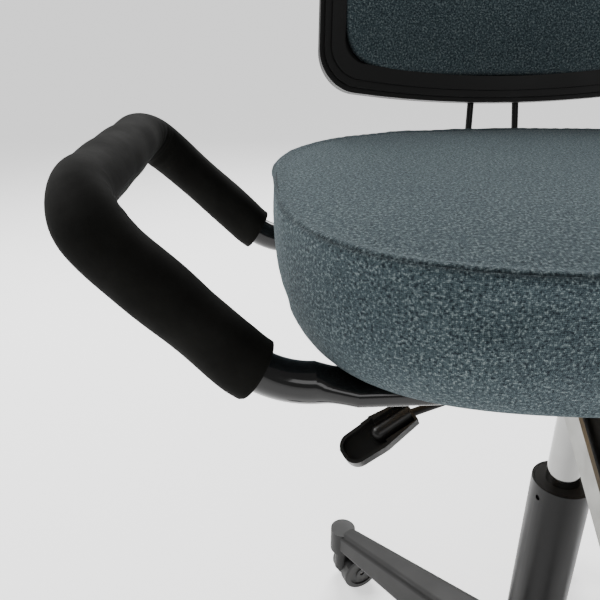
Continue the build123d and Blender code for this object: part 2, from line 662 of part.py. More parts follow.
with BuildPart() as tension_bolt:
    with BuildSketch(tension_plane(CUP_FIRST - NUT_HEIGHT)):
        RegularPolygon(NUT_RADIUS, 6)
    extrude(amount=NUT_HEIGHT)
    with BuildSketch(tension_plane(CUP_FIRST)):
        Circle(BOLT_RADIUS)
    extrude(amount=KNOB_LAST - 8.0 - CUP_FIRST)
    with BuildSketch(tension_plane(STRAP_LAST - SHEET - NUT_HEIGHT)):
        RegularPolygon(NUT_RADIUS, 6)
    extrude(amount=NUT_HEIGHT)
save(tension_bolt, "tension_bolt")


def lobed_knob(plane, radius, thickness, lobes, bore_depth):
    """A hand knob with scalloped grips and a blind bore on its near side."""
    with BuildPart() as knob:
        with BuildSketch(plane):
            Circle(radius)
            with PolarLocations(radius * 1.16, lobes):
                Circle(radius * 0.30, mode=Mode.SUBTRACT)
        extrude(amount=thickness)
        fillet(knob.faces().sort_by(Axis(plane.origin, plane.z_dir))[-1].edges(), radius=1.6)
        with BuildSketch(plane):
            Circle(BOLT_RADIUS + FIT)
        extrude(amount=bore_depth, mode=Mode.SUBTRACT)
    return knob


save(lobed_knob(tension_plane(STRAP_LAST + 0.6), KNOB_RADIUS, KNOB_LAST - STRAP_LAST, 7, 21.0), "tension_knob")

# ---- seat ---------------------------------------------------------------------------------------
def seat_outline(inset):
    """Points round the seat's rounded-square outline, moved inward by the inset."""
    half_width = SEAT_HALF_WIDTH - inset
    half_depth = SEAT_HALF_DEPTH - inset
    points = []
    for step in range(OUTLINE_POINTS):
        angle = 2 * pi * step / OUTLINE_POINTS
        across = abs(cos(angle) / half_width) ** SEAT_SQUARENESS
        along = abs(sin(angle) / half_depth) ** SEAT_SQUARENESS
        reach = (across + along) ** (-1 / SEAT_SQUARENESS)
        rearward = max(reach * sin(angle) / half_depth, 0)
        points.append((
            reach * cos(angle) * (1 - SEAT_NARROWING * rearward ** 2),
            SEAT_CENTRE_Y + reach * sin(angle),
        ))
    return points


plate_screws = [(x, y) for x in (-60, 60) for y in (-35, 130)]
bracket_screws = [(x, y) for x in (-34, 34) for y in (163, 187)]
arm_screws_at = [
    (side * x, ARM_CENTRE_Y + end * ARM_HALF_SPACING)
    for side in (-1, 1) for x in TAB_SCREW_X for end in (-1, 1)
]

with BuildPart() as seat_plate:
    with BuildSketch(Plane.XY.offset(PLATE_BOTTOM)):
        with Locations((0, PLATE_CENTRE_Y)):
            RectangleRounded(*PLATE_SIZE, 10.0)
        with Locations(*plate_screws):
            Circle(SCREW_RADIUS, mode=Mode.SUBTRACT)
    extrude(amount=SHEET)
    for side in (-1, 1):
        with BuildSketch(Plane.YZ.offset(side * (WALL_X + 1.0))):
            with Locations((TILT_PIN_Y, TILT_PIN_Z)):
                Circle(LUG_RADIUS)
                Rectangle(2 * LUG_RADIUS, PLATE_BOTTOM + 1.0 - TILT_PIN_Z, align=(Align.CENTER, Align.MIN))
                Circle(TILT_PIN_RADIUS + FIT, mode=Mode.SUBTRACT)
        extrude(amount=side * SHEET)
save(seat_plate, "seat_plate")

with BuildPart() as seat_board:
    with BuildSketch(Plane.XY.offset(SEAT_Z)):
        with BuildLine():
            Spline(*seat_outline(BOARD_INSET), periodic=True)
        make_face()
        with Locations(*(plate_screws + bracket_screws + arm_screws_at)):
            Circle(SCREW_RADIUS, mode=Mode.SUBTRACT)
        with GridLocations(2 * (TAB_FLAT_X + 30.0), 2 * ARM_HALF_SPACING, 2, 2):
            with Locations((0, ARM_CENTRE_Y)):
                Rectangle(60.0, TAB_WIDTH + 6.0, mode=Mode.SUBTRACT)
    extrude(amount=BOARD_THICKNESS)
save(seat_board, "seat_board")

with BuildPart() as seat_cushion:
    with BuildSketch(Plane.XY.offset(SEAT_Z + BOARD_THICKNESS)):
        with BuildLine():
            Spline(*seat_outline(0), periodic=True)
        make_face()
    extrude(amount=CROWN_Z - SEAT_Z - BOARD_THICKNESS)
    fillet(seat_cushion.edges().group_by(Axis.Z)[-1], radius=CROWN_ROUND)
    fillet(seat_cushion.edges().group_by(Axis.Z)[0], radius=LOWER_ROUND)
save(seat_cushion, "seat_cushion")


def screw_set(places, head_top, grip):
    """Socket-head screws driven up into the seat board: their heads hang below head_top."""
    with BuildPart() as screws:
        for x, y in places:
            with BuildSketch(Plane(origin=(x, y, head_top - SCREW_HEAD))):
                Circle(SCREW_HEAD_RADIUS)
            extrude(amount=SCREW_HEAD)
            with BuildSketch(Plane(origin=(x, y, head_top))):
                Circle(SCREW_RADIUS)
            extrude(amount=grip + SCREW_REACH)
            with BuildSketch(Plane(origin=(x, y, head_top - SCREW_HEAD))):
                RegularPolygon(SCREW_SOCKET, 6)
            extrude(amount=SCREW_HEAD - 2.0, mode=Mode.SUBTRACT)
    return screws


save(screw_set(plate_screws + bracket_screws, PLATE_BOTTOM, SHEET), "seat_screws")
save(screw_set(arm_screws_at, SEAT_Z - TAB_THICKNESS, TAB_THICKNESS), "arm_screws")

# ---- hoop arms ----------------------------------------------------------------------------------
arm_rise = radians(ARM_SLOPE)
arm_root_x = ARM_BAR_X - (ARM_BAR_Z - ARM_ROOT_Z) / tan(arm_rise)


def arm_point(side, x, end, z):
    """A point on one of the arm's two limbs: end is -1 for the front limb and 1 for the rear one."""
    return Vector(side * x, ARM_CENTRE_Y + end * ARM_HALF_SPACING, z)


def tab_plane(side, end, x, z):
    """A plane across a limb's root, facing outward."""
    return Plane(origin=arm_point(side, x, end, z), x_dir=(0, 1, 0), z_dir=(side, 0, 0))


def arm_line(side):
    """The centre line of a hoop arm, from its front root along the bar to its rear root."""
    return FilletPolyline(
        arm_point(side, TAB_START_X, -1, ARM_ROOT_Z),
        arm_point(side, arm_root_x, -1, ARM_ROOT_Z),
        arm_point(side, ARM_BAR_X, -1, ARM_BAR_Z),
        arm_point(side, ARM_BAR_X, 1, ARM_BAR_Z),
        arm_point(side, arm_root_x, 1, ARM_ROOT_Z),
        arm_point(side, TAB_START_X, 1, ARM_ROOT_Z),
        radius=(ARM_ROOT_BEND, ARM_CORNER, ARM_CORNER, ARM_ROOT_BEND),
    )


for side, name in ((-1, "right"), (1, "left")):
    with BuildPart() as arm_tube:
        with BuildLine() as arm_path:
            arm_line(side)
        with BuildSketch(Plane(origin=arm_path.line @ 0, z_dir=arm_path.line % 0)):
            Circle(ARM_TUBE_RADIUS)
            Circle(ARM_TUBE_RADIUS - ARM_TUBE_WALL, mode=Mode.SUBTRACT)
        sweep()
        tab_z = SEAT_Z - TAB_THICKNESS / 2
        for wall, mode in ((0.0, Mode.ADD), (ARM_TUBE_WALL, Mode.SUBTRACT)):
            for end in (-1, 1):
                with BuildSketch(tab_plane(side, end, TAB_START_X, ARM_ROOT_Z)):
                    Circle(ARM_TUBE_RADIUS - wall)
                with BuildSketch(tab_plane(side, end, TAB_FLAT_X, tab_z)):
                    RectangleRounded(TAB_WIDTH - 2 * wall, TAB_THICKNESS - 2 * wall, TAB_CORNER - wall)
                loft(mode=mode)
                with BuildSketch(tab_plane(side, end, TAB_END_X, tab_z)):
                    RectangleRounded(TAB_WIDTH - 2 * wall, TAB_THICKNESS - 2 * wall, TAB_CORNER - wall)
                extrude(amount=TAB_FLAT_X - TAB_END_X, mode=mode)
        with BuildSketch(Plane.XY.offset(SEAT_Z - TAB_THICKNESS - 1.0)):
            with Locations(*[place for place in arm_screws_at if place[0] * side > 0]):
                Circle(SCREW_RADIUS)
        extrude(amount=TAB_THICKNESS + 2.0, mode=Mode.SUBTRACT)
    save(arm_tube, f"arm_tube_{name}")

    end_rise = radians(ARM_FOAM_END_SLOPE)
    sleeve_end = Plane(
        origin=(side * ARM_FOAM_END[0], 0, ARM_FOAM_END[1]),
        z_dir=(side * cos(end_rise), 0, sin(end_rise)),
    )
    with BuildPart() as arm_foam:
        with BuildLine() as foam_path:
            arm_line(side)
        with BuildSketch(Plane(origin=foam_path.line @ 0, z_dir=foam_path.line % 0)):
            Circle(ARM_FOAM_RADIUS)
            Circle(ARM_TUBE_RADIUS, mode=Mode.SUBTRACT)
        sweep()
        split(bisect_by=sleeve_end, keep=Keep.TOP)
    save(arm_foam, f"arm_foam_{name}")

# ---- backrest -----------------------------------------------------------------------------------
lean = radians(BACK_LEAN)
back_up = Vector(0, sin(lean), cos(lean))
back_front = Vector(0, -cos(lean), sin(lean))
back_plane = Plane(origin=BACK_ORIGIN, x_dir=(1, 0, 0), z_dir=back_front)
wrap_plane = Plane(origin=Vector(*BACK_ORIGIN) - back_up * 40.0, x_dir=(1, 0, 0), z_dir=back_up)

rod_root_y = BACK_ORIGIN[1] - (BACK_ORIGIN[2] - HINGE_Z) * tan(lean)


def rod_points(side):
    """The rod's start in the clamp, its bend behind the seat and its upper end."""
    return (
        Vector(side * ROD_ROOT_X, HINGE_Y + 7.0, HINGE_Z),
        Vector(side * ROD_ROOT_X, rod_root_y, HINGE_Z),
        Vector(side * ROD_TOP_X, rod_root_y + (ROD_TOP_Z - HINGE_Z) * tan(lean), ROD_TOP_Z),
    )


def back_slab(inset, near, far):
    """The backrest's outline, inset all round, as a slab that wraps round the sitter.

    near and far are the slab's front and rear faces, measured forward from the rods' plane.
    """
    half = BACK_HALF_WIDTH - inset
    with BuildPart() as slab:
        with BuildSketch(back_plane) as outline:
            with BuildLine():
                ThreePointArc((-half, 13 + inset), (0, inset), (half, 13 + inset))
                Line((half, 13 + inset), (half - 6, BACK_HEIGHT - 16 - inset))
                ThreePointArc((half - 6, BACK_HEIGHT - 16 - inset), (0, BACK_HEIGHT - inset),
                              (6 - half, BACK_HEIGHT - 16 - inset))
                Line((6 - half, BACK_HEIGHT - 16 - inset), (-half, 13 + inset))
            make_face()
            fillet(outline.vertices(), radius=BACK_CORNER - inset * 0.7)
        extrude(amount=90.0, both=True)
        with BuildSketch(wrap_plane):
            with Locations((0, -BACK_WRAP)):
                Circle(BACK_WRAP - far)
                Circle(BACK_WRAP - near, mode=Mode.SUBTRACT)
        extrude(amount=BACK_HEIGHT + 80.0, mode=Mode.INTERSECT)
    return slab.part


with BuildPart() as back_shell:
    add(back_slab(0, 10.0, -7.0))
    add(back_slab(5, 13.0, 9.0))
    add(back_slab(12, 15.0, 12.0))
    add(back_slab(BACK_RIM, 20.0, 5.0), mode=Mode.SUBTRACT)
    for side in (-1, 1):
        start, bend, top = rod_points(side)
        with BuildSketch(Plane(origin=bend, z_dir=top - bend)):
            Circle(ROD_RADIUS)
        extrude(amount=(top - bend).length, mode=Mode.SUBTRACT)
save(back_shell, "back_shell")

with BuildPart() as back_pad:
    add(back_slab(BACK_RIM + 0.3, 24.0, 5.2))
save(back_pad, "back_pad")

for side, name in ((-1, "right"), (1, "left")):
    with BuildPart() as back_rod:
        with BuildLine() as back_rod_path:
            FilletPolyline(*rod_points(side), radius=ROD_BEND)
        with BuildSketch(Plane(origin=back_rod_path.line @ 0, z_dir=back_rod_path.line % 0)):
            Circle(ROD_RADIUS)
        sweep()
    save(back_rod, f"back_rod_{name}")

with BuildPart() as back_bracket:
    with BuildSketch(Plane.XY.offset(PLATE_BOTTOM)):
        with Locations((0, 189)):
            RectangleRounded(92.0, 76.0, 8.0)
        with Locations(*bracket_screws):
            Circle(SCREW_RADIUS, mode=Mode.SUBTRACT)
    extrude(amount=SHEET)
    for side in (-1, 1):
        with BuildSketch(Plane.YZ.offset(side * EAR_X)):
            with Locations((HINGE_Y, HINGE_Z)):
                Circle(EAR_RADIUS)
                Rectangle(2 * EAR_RADIUS, PLATE_BOTTOM + 1.0 - HINGE_Z, align=(Align.CENTER, Align.MIN))
                Circle(HINGE_BOLT_RADIUS, mode=Mode.SUBTRACT)
        extrude(amount=side * SHEET)
save(back_bracket, "back_bracket")

with BuildPart() as rod_clamp:
    with BuildSketch(Plane.YZ.offset(-CLAMP_HALF)):
        with Locations((HINGE_Y, HINGE_Z)):
            Circle(CLAMP_RADIUS)
            Rectangle(2 * CLAMP_RADIUS, 16.0, align=(Align.MIN, Align.CENTER))
    extrude(amount=2 * CLAMP_HALF)
    for side in (-1, 1):
        with BuildSketch(Plane(origin=rod_points(side)[0], z_dir=(0, 1, 0))):
            Circle(ROD_RADIUS)
        extrude(amount=30.0, mode=Mode.SUBTRACT)
    with BuildSketch(Plane.YZ.offset(-45.0)):
        with Locations((HINGE_Y, HINGE_Z)):
            Circle(HINGE_BOLT_RADIUS + FIT)
    extrude(amount=90.0, mode=Mode.SUBTRACT)
save(rod_clamp, "rod_clamp")

with BuildPart() as back_hinge_bolt:
    with BuildSketch(Plane.YZ.offset(-EAR_X - SHEET)):
        with Locations((HINGE_Y, HINGE_Z)):
            Circle(HINGE_BOLT_RADIUS)
    extrude(amount=BACK_KNOB_X + 60.4)
    with BuildSketch(Plane.YZ.offset(-EAR_X - SHEET)):
        with Locations((HINGE_Y, HINGE_Z)):
            RegularPolygon(NUT_RADIUS, 6)
    extrude(amount=0.5 - NUT_HEIGHT)
save(back_hinge_bolt, "back_hinge_bolt")

back_knob_plane = Plane(origin=(BACK_KNOB_X, HINGE_Y, HINGE_Z), x_dir=(0, 1, 0), z_dir=(1, 0, 0))
save(lobed_knob(back_knob_plane, BACK_KNOB_RADIUS, BACK_KNOB_LENGTH, 5, 18.0), "back_knob")
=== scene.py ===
"""Looks of the dentist stool: upholstery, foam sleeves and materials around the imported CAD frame."""

import json
import math

import bpy
import numpy as np
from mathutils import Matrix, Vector


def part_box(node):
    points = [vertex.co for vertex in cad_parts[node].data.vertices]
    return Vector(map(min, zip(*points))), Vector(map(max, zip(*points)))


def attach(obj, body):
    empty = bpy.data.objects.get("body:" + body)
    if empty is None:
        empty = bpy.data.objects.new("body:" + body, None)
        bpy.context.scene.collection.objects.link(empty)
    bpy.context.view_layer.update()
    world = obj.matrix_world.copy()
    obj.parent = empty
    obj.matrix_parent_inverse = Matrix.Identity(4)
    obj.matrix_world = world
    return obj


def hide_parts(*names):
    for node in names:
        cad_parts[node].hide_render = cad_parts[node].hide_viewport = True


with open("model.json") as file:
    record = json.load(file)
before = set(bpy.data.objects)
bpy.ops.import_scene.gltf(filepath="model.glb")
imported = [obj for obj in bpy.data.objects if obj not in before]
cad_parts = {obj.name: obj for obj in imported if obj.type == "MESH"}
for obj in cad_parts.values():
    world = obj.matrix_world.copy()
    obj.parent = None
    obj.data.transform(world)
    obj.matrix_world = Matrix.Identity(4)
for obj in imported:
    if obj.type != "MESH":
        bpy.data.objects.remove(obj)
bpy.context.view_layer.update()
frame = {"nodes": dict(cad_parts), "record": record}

# ---- helpers ------------------------------------------------------------------------------------
MM = 0.001


def unit(vectors):
    """Vectors scaled to length one, along the last axis."""
    lengths = np.linalg.norm(vectors, axis=-1, keepdims=True)
    return vectors / np.maximum(lengths, 1e-12)


def make_object(name, points, faces, material, smooth=True):
    """A mesh object from plain point and face lists, in metres, in the row frame."""
    mesh = bpy.data.meshes.new(name)
    mesh.from_pydata([tuple(p) for p in points], [], [tuple(f) for f in faces])
    mesh.validate()
    mesh.polygons.foreach_set("use_smooth", [smooth] * len(mesh.polygons))
    piece = bpy.data.objects.new(name, mesh)
    bpy.context.scene.collection.objects.link(piece)
    if material is not None:
        mesh.materials.append(material)
    return piece


def grid_faces(rows, columns):
    """Quads of a grid stored row by row; the last column joins the first."""
    faces = []
    for row in range(rows - 1):
        for column in range(columns):
            right = (column + 1) % columns
            faces.append((row * columns + column, row * columns + right,
                          (row + 1) * columns + right, (row + 1) * columns + column))
    return faces


def closed_form(name, grid, material):
    """A closed mesh from rings (rows, columns, 3); both ends are closed by a fan."""
    rows, columns = grid.shape[:2]
    points = list(grid.reshape(-1, 3))
    faces = grid_faces(rows, columns)
    top = len(points)
    points.append(grid[0].mean(0))
    bottom = len(points)
    points.append(grid[-1].mean(0))
    for column in range(columns):
        right = (column + 1) % columns
        faces.append((top, right, column))
        faces.append((bottom, (rows - 1) * columns + column, (rows - 1) * columns + right))
    return make_object(name, points, faces, material)


def ripple(u, seed, waves, cycles):
    """A smooth, repeatable irregular wave round a closed outline; u runs from 0 to 1."""
    rng = np.random.default_rng(seed)
    total = np.zeros_like(u)
    for _ in range(waves):
        count = rng.integers(cycles[0], cycles[1] + 1)
        total = total + rng.uniform(0.4, 1.0) * np.sin(2 * math.pi * (count * u + rng.uniform()))
    return total / math.sqrt(waves)


# ---- materials ----------------------------------------------------------------------------------
class Nodes:
    """A short way to write a material's node tree."""

    def __init__(self, name):
        self.material = bpy.data.materials.new(name)
        self.material.use_nodes = True
        self.tree = self.material.node_tree
        self.tree.nodes.clear()
        self.output = self.add("ShaderNodeOutputMaterial")
        self.shader = self.add("ShaderNodeBsdfPrincipled")
        self.tree.links.new(self.shader.outputs[0], self.output.inputs["Surface"])

    def add(self, kind, **settings):
        node = self.tree.nodes.new(kind)
        for key, value in settings.items():
            setattr(node, key, value)
        return node

    def link(self, source, target):
        self.tree.links.new(source, target)

    def math(self, operation, first, second=None):
        node = self.add("ShaderNodeMath", operation=operation)
        for index, value in enumerate((first, second)):
            if value is None:
                continue
            if isinstance(value, (int, float)):
                node.inputs[index].default_value = value
            else:
                self.link(value, node.inputs[index])
        return node.outputs[0]

    def ramp(self, factor, stops):
        node = self.add("ShaderNodeValToRGB")
        elements = node.color_ramp.elements
        while len(elements) < len(stops):
            elements.new(0.5)
        for element, (position, colour) in zip(elements, stops):
            element.position = position
            element.color = (*colour, 1.0)
        self.link(factor, node.inputs[0])
        return node.outputs[0]

    def noise(self, vector, scale, detail=3.0, roughness=0.5):
        node = self.add("ShaderNodeTexNoise")
        node.inputs["Scale"].default_value = scale
        node.inputs["Detail"].default_value = detail
        node.inputs["Roughness"].default_value = roughness
        if vector is not None:
            self.link(vector, node.inputs["Vector"])
        return node.outputs[0]

    def place(self):
        return self.add("ShaderNodeTexCoord").outputs["Object"]

    def bump(self, height, strength, distance, normal=None):
        node = self.add("ShaderNodeBump")
        node.inputs["Strength"].default_value = strength
        node.inputs["Distance"].default_value = distance
        self.link(height, node.inputs["Height"])
        if normal is not None:
            self.link(normal, node.inputs["Normal"])
        return node.outputs[0]

    def set(self, **values):
        for key, value in values.items():
            self.shader.inputs[key.replace("_", " ")].default_value = value

    def set_specular(self, level):
        self.shader.inputs["Specular IOR Level"].default_value = level


def woven_fabric(name, yarn, dark, middle, light):
    """Coarse heathered hopsack: each yarn float has its own shade; the weave follows the mesh's own map."""
    n = Nodes(name)
    cloth = n.add("ShaderNodeAttribute", attribute_name="weave").outputs["Vector"]
    split = n.add("ShaderNodeSeparateXYZ")
    n.link(cloth, split.inputs[0])
    wander = n.noise(cloth, 260.0, 3.0)
    drift = n.math("MULTIPLY", n.math("SUBTRACT", wander, 0.5), 2.2)
    across = n.math("ADD", n.math("DIVIDE", split.outputs[0], yarn), drift)
    along = n.math("ADD", n.math("DIVIDE", split.outputs[1], yarn), drift)
    column = n.math("FLOOR", across)
    row = n.math("FLOOR", along)
    over = n.math("MODULO", n.math("ADD", column, row), 2.0)
    over = n.math("ABSOLUTE", over)
    # a float on top spans two cells, so that its shade is shared by the pair
    pair_column = n.math("FLOOR", n.math("MULTIPLY", n.math("ADD", across, row), 0.5))
    pair_row = n.math("FLOOR", n.math("MULTIPLY", n.math("ADD", along, column), 0.5))
    cell = n.add("ShaderNodeCombineXYZ")
    mixed_column = n.math("ADD", n.math("MULTIPLY", pair_column, over),
                          n.math("MULTIPLY", column, n.math("SUBTRACT", 1.0, over)))
    mixed_row = n.math("ADD", n.math("MULTIPLY", row, over),
                       n.math("MULTIPLY", pair_row, n.math("SUBTRACT", 1.0, over)))
    n.link(mixed_column, cell.inputs[0])
    n.link(mixed_row, cell.inputs[1])
    n.link(over, cell.inputs[2])
    random = n.add("ShaderNodeTexWhiteNoise", noise_dimensions="3D")
    n.link(cell.outputs[0], random.inputs["Vector"])
    # groups of yarns share a tone, so that the heather shows from a distance
    clumps = n.math("SUBTRACT", n.noise(cloth, 560.0, 2.0, 0.6), 0.5)
    clumps = n.math("ADD", n.math("MULTIPLY", clumps, 3.0), 0.5)
    shade = n.math("ADD", n.math("MULTIPLY", random.outputs["Value"], 0.4),
                   n.math("MULTIPLY", clumps, 0.6))
    colour = n.ramp(shade, [(0.14, dark), (0.45, middle), (0.56, middle), (0.86, light)])
    # painted shade: the fold between neighbouring yarns is darkened, standing in for the shade that falls
    # there
    rise_u = n.math("ABSOLUTE", n.math("SINE", n.math("MULTIPLY", across, math.pi)))
    rise_v = n.math("ABSOLUTE", n.math("SINE", n.math("MULTIPLY", along, math.pi)))
    height = n.math("MULTIPLY", n.math("POWER", rise_u, 0.6), n.math("POWER", rise_v, 0.6))
    painted_fold_shade = n.add("ShaderNodeMix", data_type="RGBA", blend_type="MULTIPLY")
    painted_fold_shade.inputs[0].default_value = 0.75
    n.link(colour, painted_fold_shade.inputs[6])
    n.link(n.ramp(height, [(0.0, (0.28, 0.28, 0.3)), (0.55, (1.0, 1.0, 1.0))]), painted_fold_shade.inputs[7])
    tone = n.add("ShaderNodeMix", data_type="RGBA", blend_type="MULTIPLY")
    tone.inputs[0].default_value = 1.0
    n.link(painted_fold_shade.outputs[2], tone.inputs[6])
    patches = n.ramp(n.noise(cloth, 9.0, 4.0), [(0.3, (0.86, 0.88, 0.9)), (0.7, (1.06, 1.05, 1.04))])
    n.link(patches, tone.inputs[7])
    # painted shade along the seam: the colour darkens where the groove's shadow would fall
    seam = n.add("ShaderNodeAttribute", attribute_name="seam").outputs["Fac"]
    painted_seam_shade = n.add("ShaderNodeMix", data_type="RGBA", blend_type="MULTIPLY")
    n.link(n.math("MULTIPLY", seam, 0.9), painted_seam_shade.inputs[0])
    n.link(tone.outputs[2], painted_seam_shade.inputs[6])
    painted_seam_shade.inputs[7].default_value = (0.12, 0.14, 0.16, 1.0)
    n.link(painted_seam_shade.outputs[2], n.shader.inputs["Base Color"])
    lift = n.math("ADD", n.math("MULTIPLY", height, 0.7), n.math("MULTIPLY", random.outputs["Value"], 0.5))
    n.link(n.bump(lift, 0.75, 0.7 * MM), n.shader.inputs["Normal"])
    n.set(Roughness=0.95, Sheen_Weight=0.16, Sheen_Roughness=0.4, Sheen_Tint=(0.75, 0.85, 0.9, 1.0))
    n.set_specular(0.2)
    return n.material


def foam_rubber(name):
    """Matte closed-cell foam: nearly black, faintly mottled, with a few pale specks."""
    n = Nodes(name)
    place = n.place()
    mottle = n.noise(place, 35.0, 5.0, 0.65)
    colour = n.ramp(mottle, [(0.3, (0.004, 0.004, 0.0034)), (0.75, (0.0075, 0.0075, 0.0066))])
    specks = n.add("ShaderNodeTexVoronoi", feature="F1")
    specks.inputs["Scale"].default_value = 70.0
    n.link(place, specks.inputs["Vector"])
    chance = n.add("ShaderNodeTexWhiteNoise", noise_dimensions="3D")
    n.link(specks.outputs["Position"], chance.inputs["Vector"])
    rare = n.math("GREATER_THAN", chance.outputs["Value"], 0.965)
    near = n.math("LESS_THAN", specks.outputs["Distance"], 0.035)
    mark = n.math("MULTIPLY", rare, near)
    mix = n.add("ShaderNodeMix", data_type="RGBA")
    n.link(mark, mix.inputs[0])
    n.link(colour, mix.inputs[6])
    mix.inputs[7].default_value = (0.16, 0.16, 0.15, 1.0)
    n.link(mix.outputs[2], n.shader.inputs["Base Color"])
    cells = n.noise(place, 1400.0, 3.0, 0.6)
    dents = n.noise(place, 60.0, 2.0)
    n.link(n.bump(cells, 0.22, 0.3 * MM, n.bump(dents, 0.25, 1.2 * MM)), n.shader.inputs["Normal"])
    n.link(n.ramp(mottle, [(0.3, (0.88, 0.88, 0.88)), (0.8, (0.76, 0.76, 0.76))]),
           n.shader.inputs["Roughness"])
    n.set_specular(0.06)
    return n.material


def coated_metal(name, colour, roughness, coat=0.0, peel=0.02):
    """Powder-coated or painted steel with a slight orange peel and uneven gloss."""
    n = Nodes(name)
    place = n.place()
    patchy = n.noise(place, 22.0, 4.0, 0.6)
    dark = tuple(0.8 * c for c in colour)
    light = tuple(1.3 * c for c in colour)
    n.link(n.ramp(patchy, [(0.3, dark), (0.7, light)]), n.shader.inputs["Base Color"])
    low = roughness * 0.85
    high = min(1.0, roughness * 1.2)
    n.link(n.ramp(patchy, [(0.3, (low,) * 3), (0.75, (high,) * 3)]), n.shader.inputs["Roughness"])
    n.link(n.bump(n.noise(place, 620.0, 2.0), peel, 0.4 * MM), n.shader.inputs["Normal"])
    n.set(Coat_Weight=coat, Coat_Roughness=0.08)
    n.set_specular(0.2)
    return n.material


def moulded_plastic(name, colour, roughness, grain):
    """Black moulded nylon: fine spark-eroded grain, a little dust-grey variation."""
    n = Nodes(name)
    place = n.place()
    cloudy = n.noise(place, 14.0, 5.0, 0.6)
    light = tuple(1.45 * c for c in colour)
    n.link(n.ramp(cloudy, [(0.3, colour), (0.75, light)]), n.shader.inputs["Base Color"])
    rough_low = roughness * 0.9
    rough_high = min(1.0, roughness * 1.18)
    n.link(n.ramp(cloudy, [(0.3, (rough_low,) * 3), (0.7, (rough_high,) * 3)]), n.shader.inputs["Roughness"])
    n.set_specular(0.28)
    pits = n.noise(place, 1100.0, 2.0, 0.7)
    n.link(n.bump(pits, grain, 0.25 * MM), n.shader.inputs["Normal"])
    return n.material


def bright_metal(name, colour, roughness, streaks, direction=(1.0, 1.0, 0.04)):
    """Plated or bare metal with fine drawing or polishing lines along one direction."""
    n = Nodes(name)
    mapping = n.add("ShaderNodeMapping")
    n.link(n.place(), mapping.inputs["Vector"])
    mapping.inputs["Scale"].default_value = direction
    lines = n.noise(mapping.outputs[0], 700.0, 3.0, 0.6)
    cloudy = n.noise(n.place(), 25.0, 4.0)
    dark = tuple(0.86 * c for c in colour)
    n.link(n.ramp(cloudy, [(0.3, dark), (0.7, colour)]), n.shader.inputs["Base Color"])
    n.link(n.ramp(lines, [(0.35, (roughness * 0.8,) * 3), (0.65, (min(1.0, roughness * 1.3),) * 3)]),
           n.shader.inputs["Roughness"])
    n.link(n.bump(lines, streaks, 0.1 * MM), n.shader.inputs["Normal"])
    n.set(Metallic=1.0)
    return n.material


def plywood(name):
    """Beech plywood: pale faces with long grain and darker glue lines on the edge."""
    n = Nodes(name)
    place = n.place()
    mapping = n.add("ShaderNodeMapping")
    n.link(place, mapping.inputs["Vector"])
    mapping.inputs["Scale"].default_value = (1.0, 9.0, 9.0)
    grain = n.noise(mapping.outputs[0], 26.0, 6.0, 0.62)
    face = n.ramp(grain, [(0.3, (0.36, 0.24, 0.13)), (0.5, (0.52, 0.37, 0.22)), (0.75, (0.6, 0.45, 0.28))])
    split = n.add("ShaderNodeSeparateXYZ")
    n.link(place, split.inputs[0])
    layer = n.math("FRACT", n.math("MULTIPLY", split.outputs[2], 1 / (1.7 * MM)))
    glue = n.ramp(layer, [(0.0, (0.45, 0.4, 0.35)), (0.16, (1.0, 1.0, 1.0))])
    mix = n.add("ShaderNodeMix", data_type="RGBA", blend_type="MULTIPLY")
    mix.inputs[0].default_value = 0.7
    n.link(face, mix.inputs[6])
    n.link(glue, mix.inputs[7])
    n.link(mix.outputs[2], n.shader.inputs["Base Color"])
    n.link(n.bump(grain, 0.15, 0.3 * MM), n.shader.inputs["Normal"])
    n.set(Roughness=0.62)
    return n.material


def soft_tread(name):
    """Caster tread: dark rubber with scuffs."""
    n = Nodes(name)
    place = n.place()
    scuffs = n.noise(place, 90.0, 6.0, 0.7)
    n.link(n.ramp(scuffs, [(0.35, (0.018, 0.018, 0.018)), (0.7, (0.05, 0.05, 0.048))]),
           n.shader.inputs["Base Color"])
    n.link(n.ramp(scuffs, [(0.3, (0.55, 0.55, 0.55)), (0.7, (0.8, 0.8, 0.8))]), n.shader.inputs["Roughness"])
    n.link(n.bump(scuffs, 0.2, 0.3 * MM), n.shader.inputs["Normal"])
    return n.material


YARN = 0.95 * MM
TEAL_DARK = (0.012, 0.02, 0.027)
TEAL_MIDDLE = (0.052, 0.078, 0.088)
TEAL_LIGHT = (0.19, 0.235, 0.24)
finishes = {
    "seat_fabric": woven_fabric("seat_fabric", YARN, TEAL_DARK, TEAL_MIDDLE, TEAL_LIGHT),
    "arm_foam": foam_rubber("arm_foam"),
    "black_tube": coated_metal("black_tube", (0.005, 0.005, 0.005), 0.14, coat=0.5),
    "black_steel": coated_metal("black_steel", (0.007, 0.007, 0.007), 0.36, peel=0.06),
    "black_plastic": moulded_plastic("black_plastic", (0.006, 0.006, 0.0058), 0.5, 0.1),
    "lever_plastic": moulded_plastic("lever_plastic", (0.007, 0.007, 0.0066), 0.34, 0.04),
    "chrome": bright_metal("chrome", (0.32, 0.32, 0.312), 0.09, 0.01),
    "zinc": bright_metal("zinc", (0.26, 0.26, 0.245), 0.42, 0.06, (1.0, 0.05, 0.05)),
    "steel": bright_metal("steel", (0.42, 0.42, 0.42), 0.3, 0.05),
    "spring_steel": bright_metal("spring_steel", (0.24, 0.24, 0.25), 0.3, 0.04),
    "wheel_rubber": soft_tread("wheel_rubber"),
    "plywood": plywood("plywood"),
}
finishes["back_fabric"] = finishes["seat_fabric"]
node_slots = {entry["node"]: entry["material_slot"] for entry in frame["record"]["subparts"]}
for node, cad_object in frame["nodes"].items():
    cad_object.data.materials.clear()
    cad_object.data.materials.append(finishes[node_slots[node]])


# ---- seat cushion -------------------------------------------------------------------------------
FRONT_SQUARENESS = 3.4      # 2 would be an ellipse
REAR_SQUARENESS = 2.6
NARROWING = 0.05


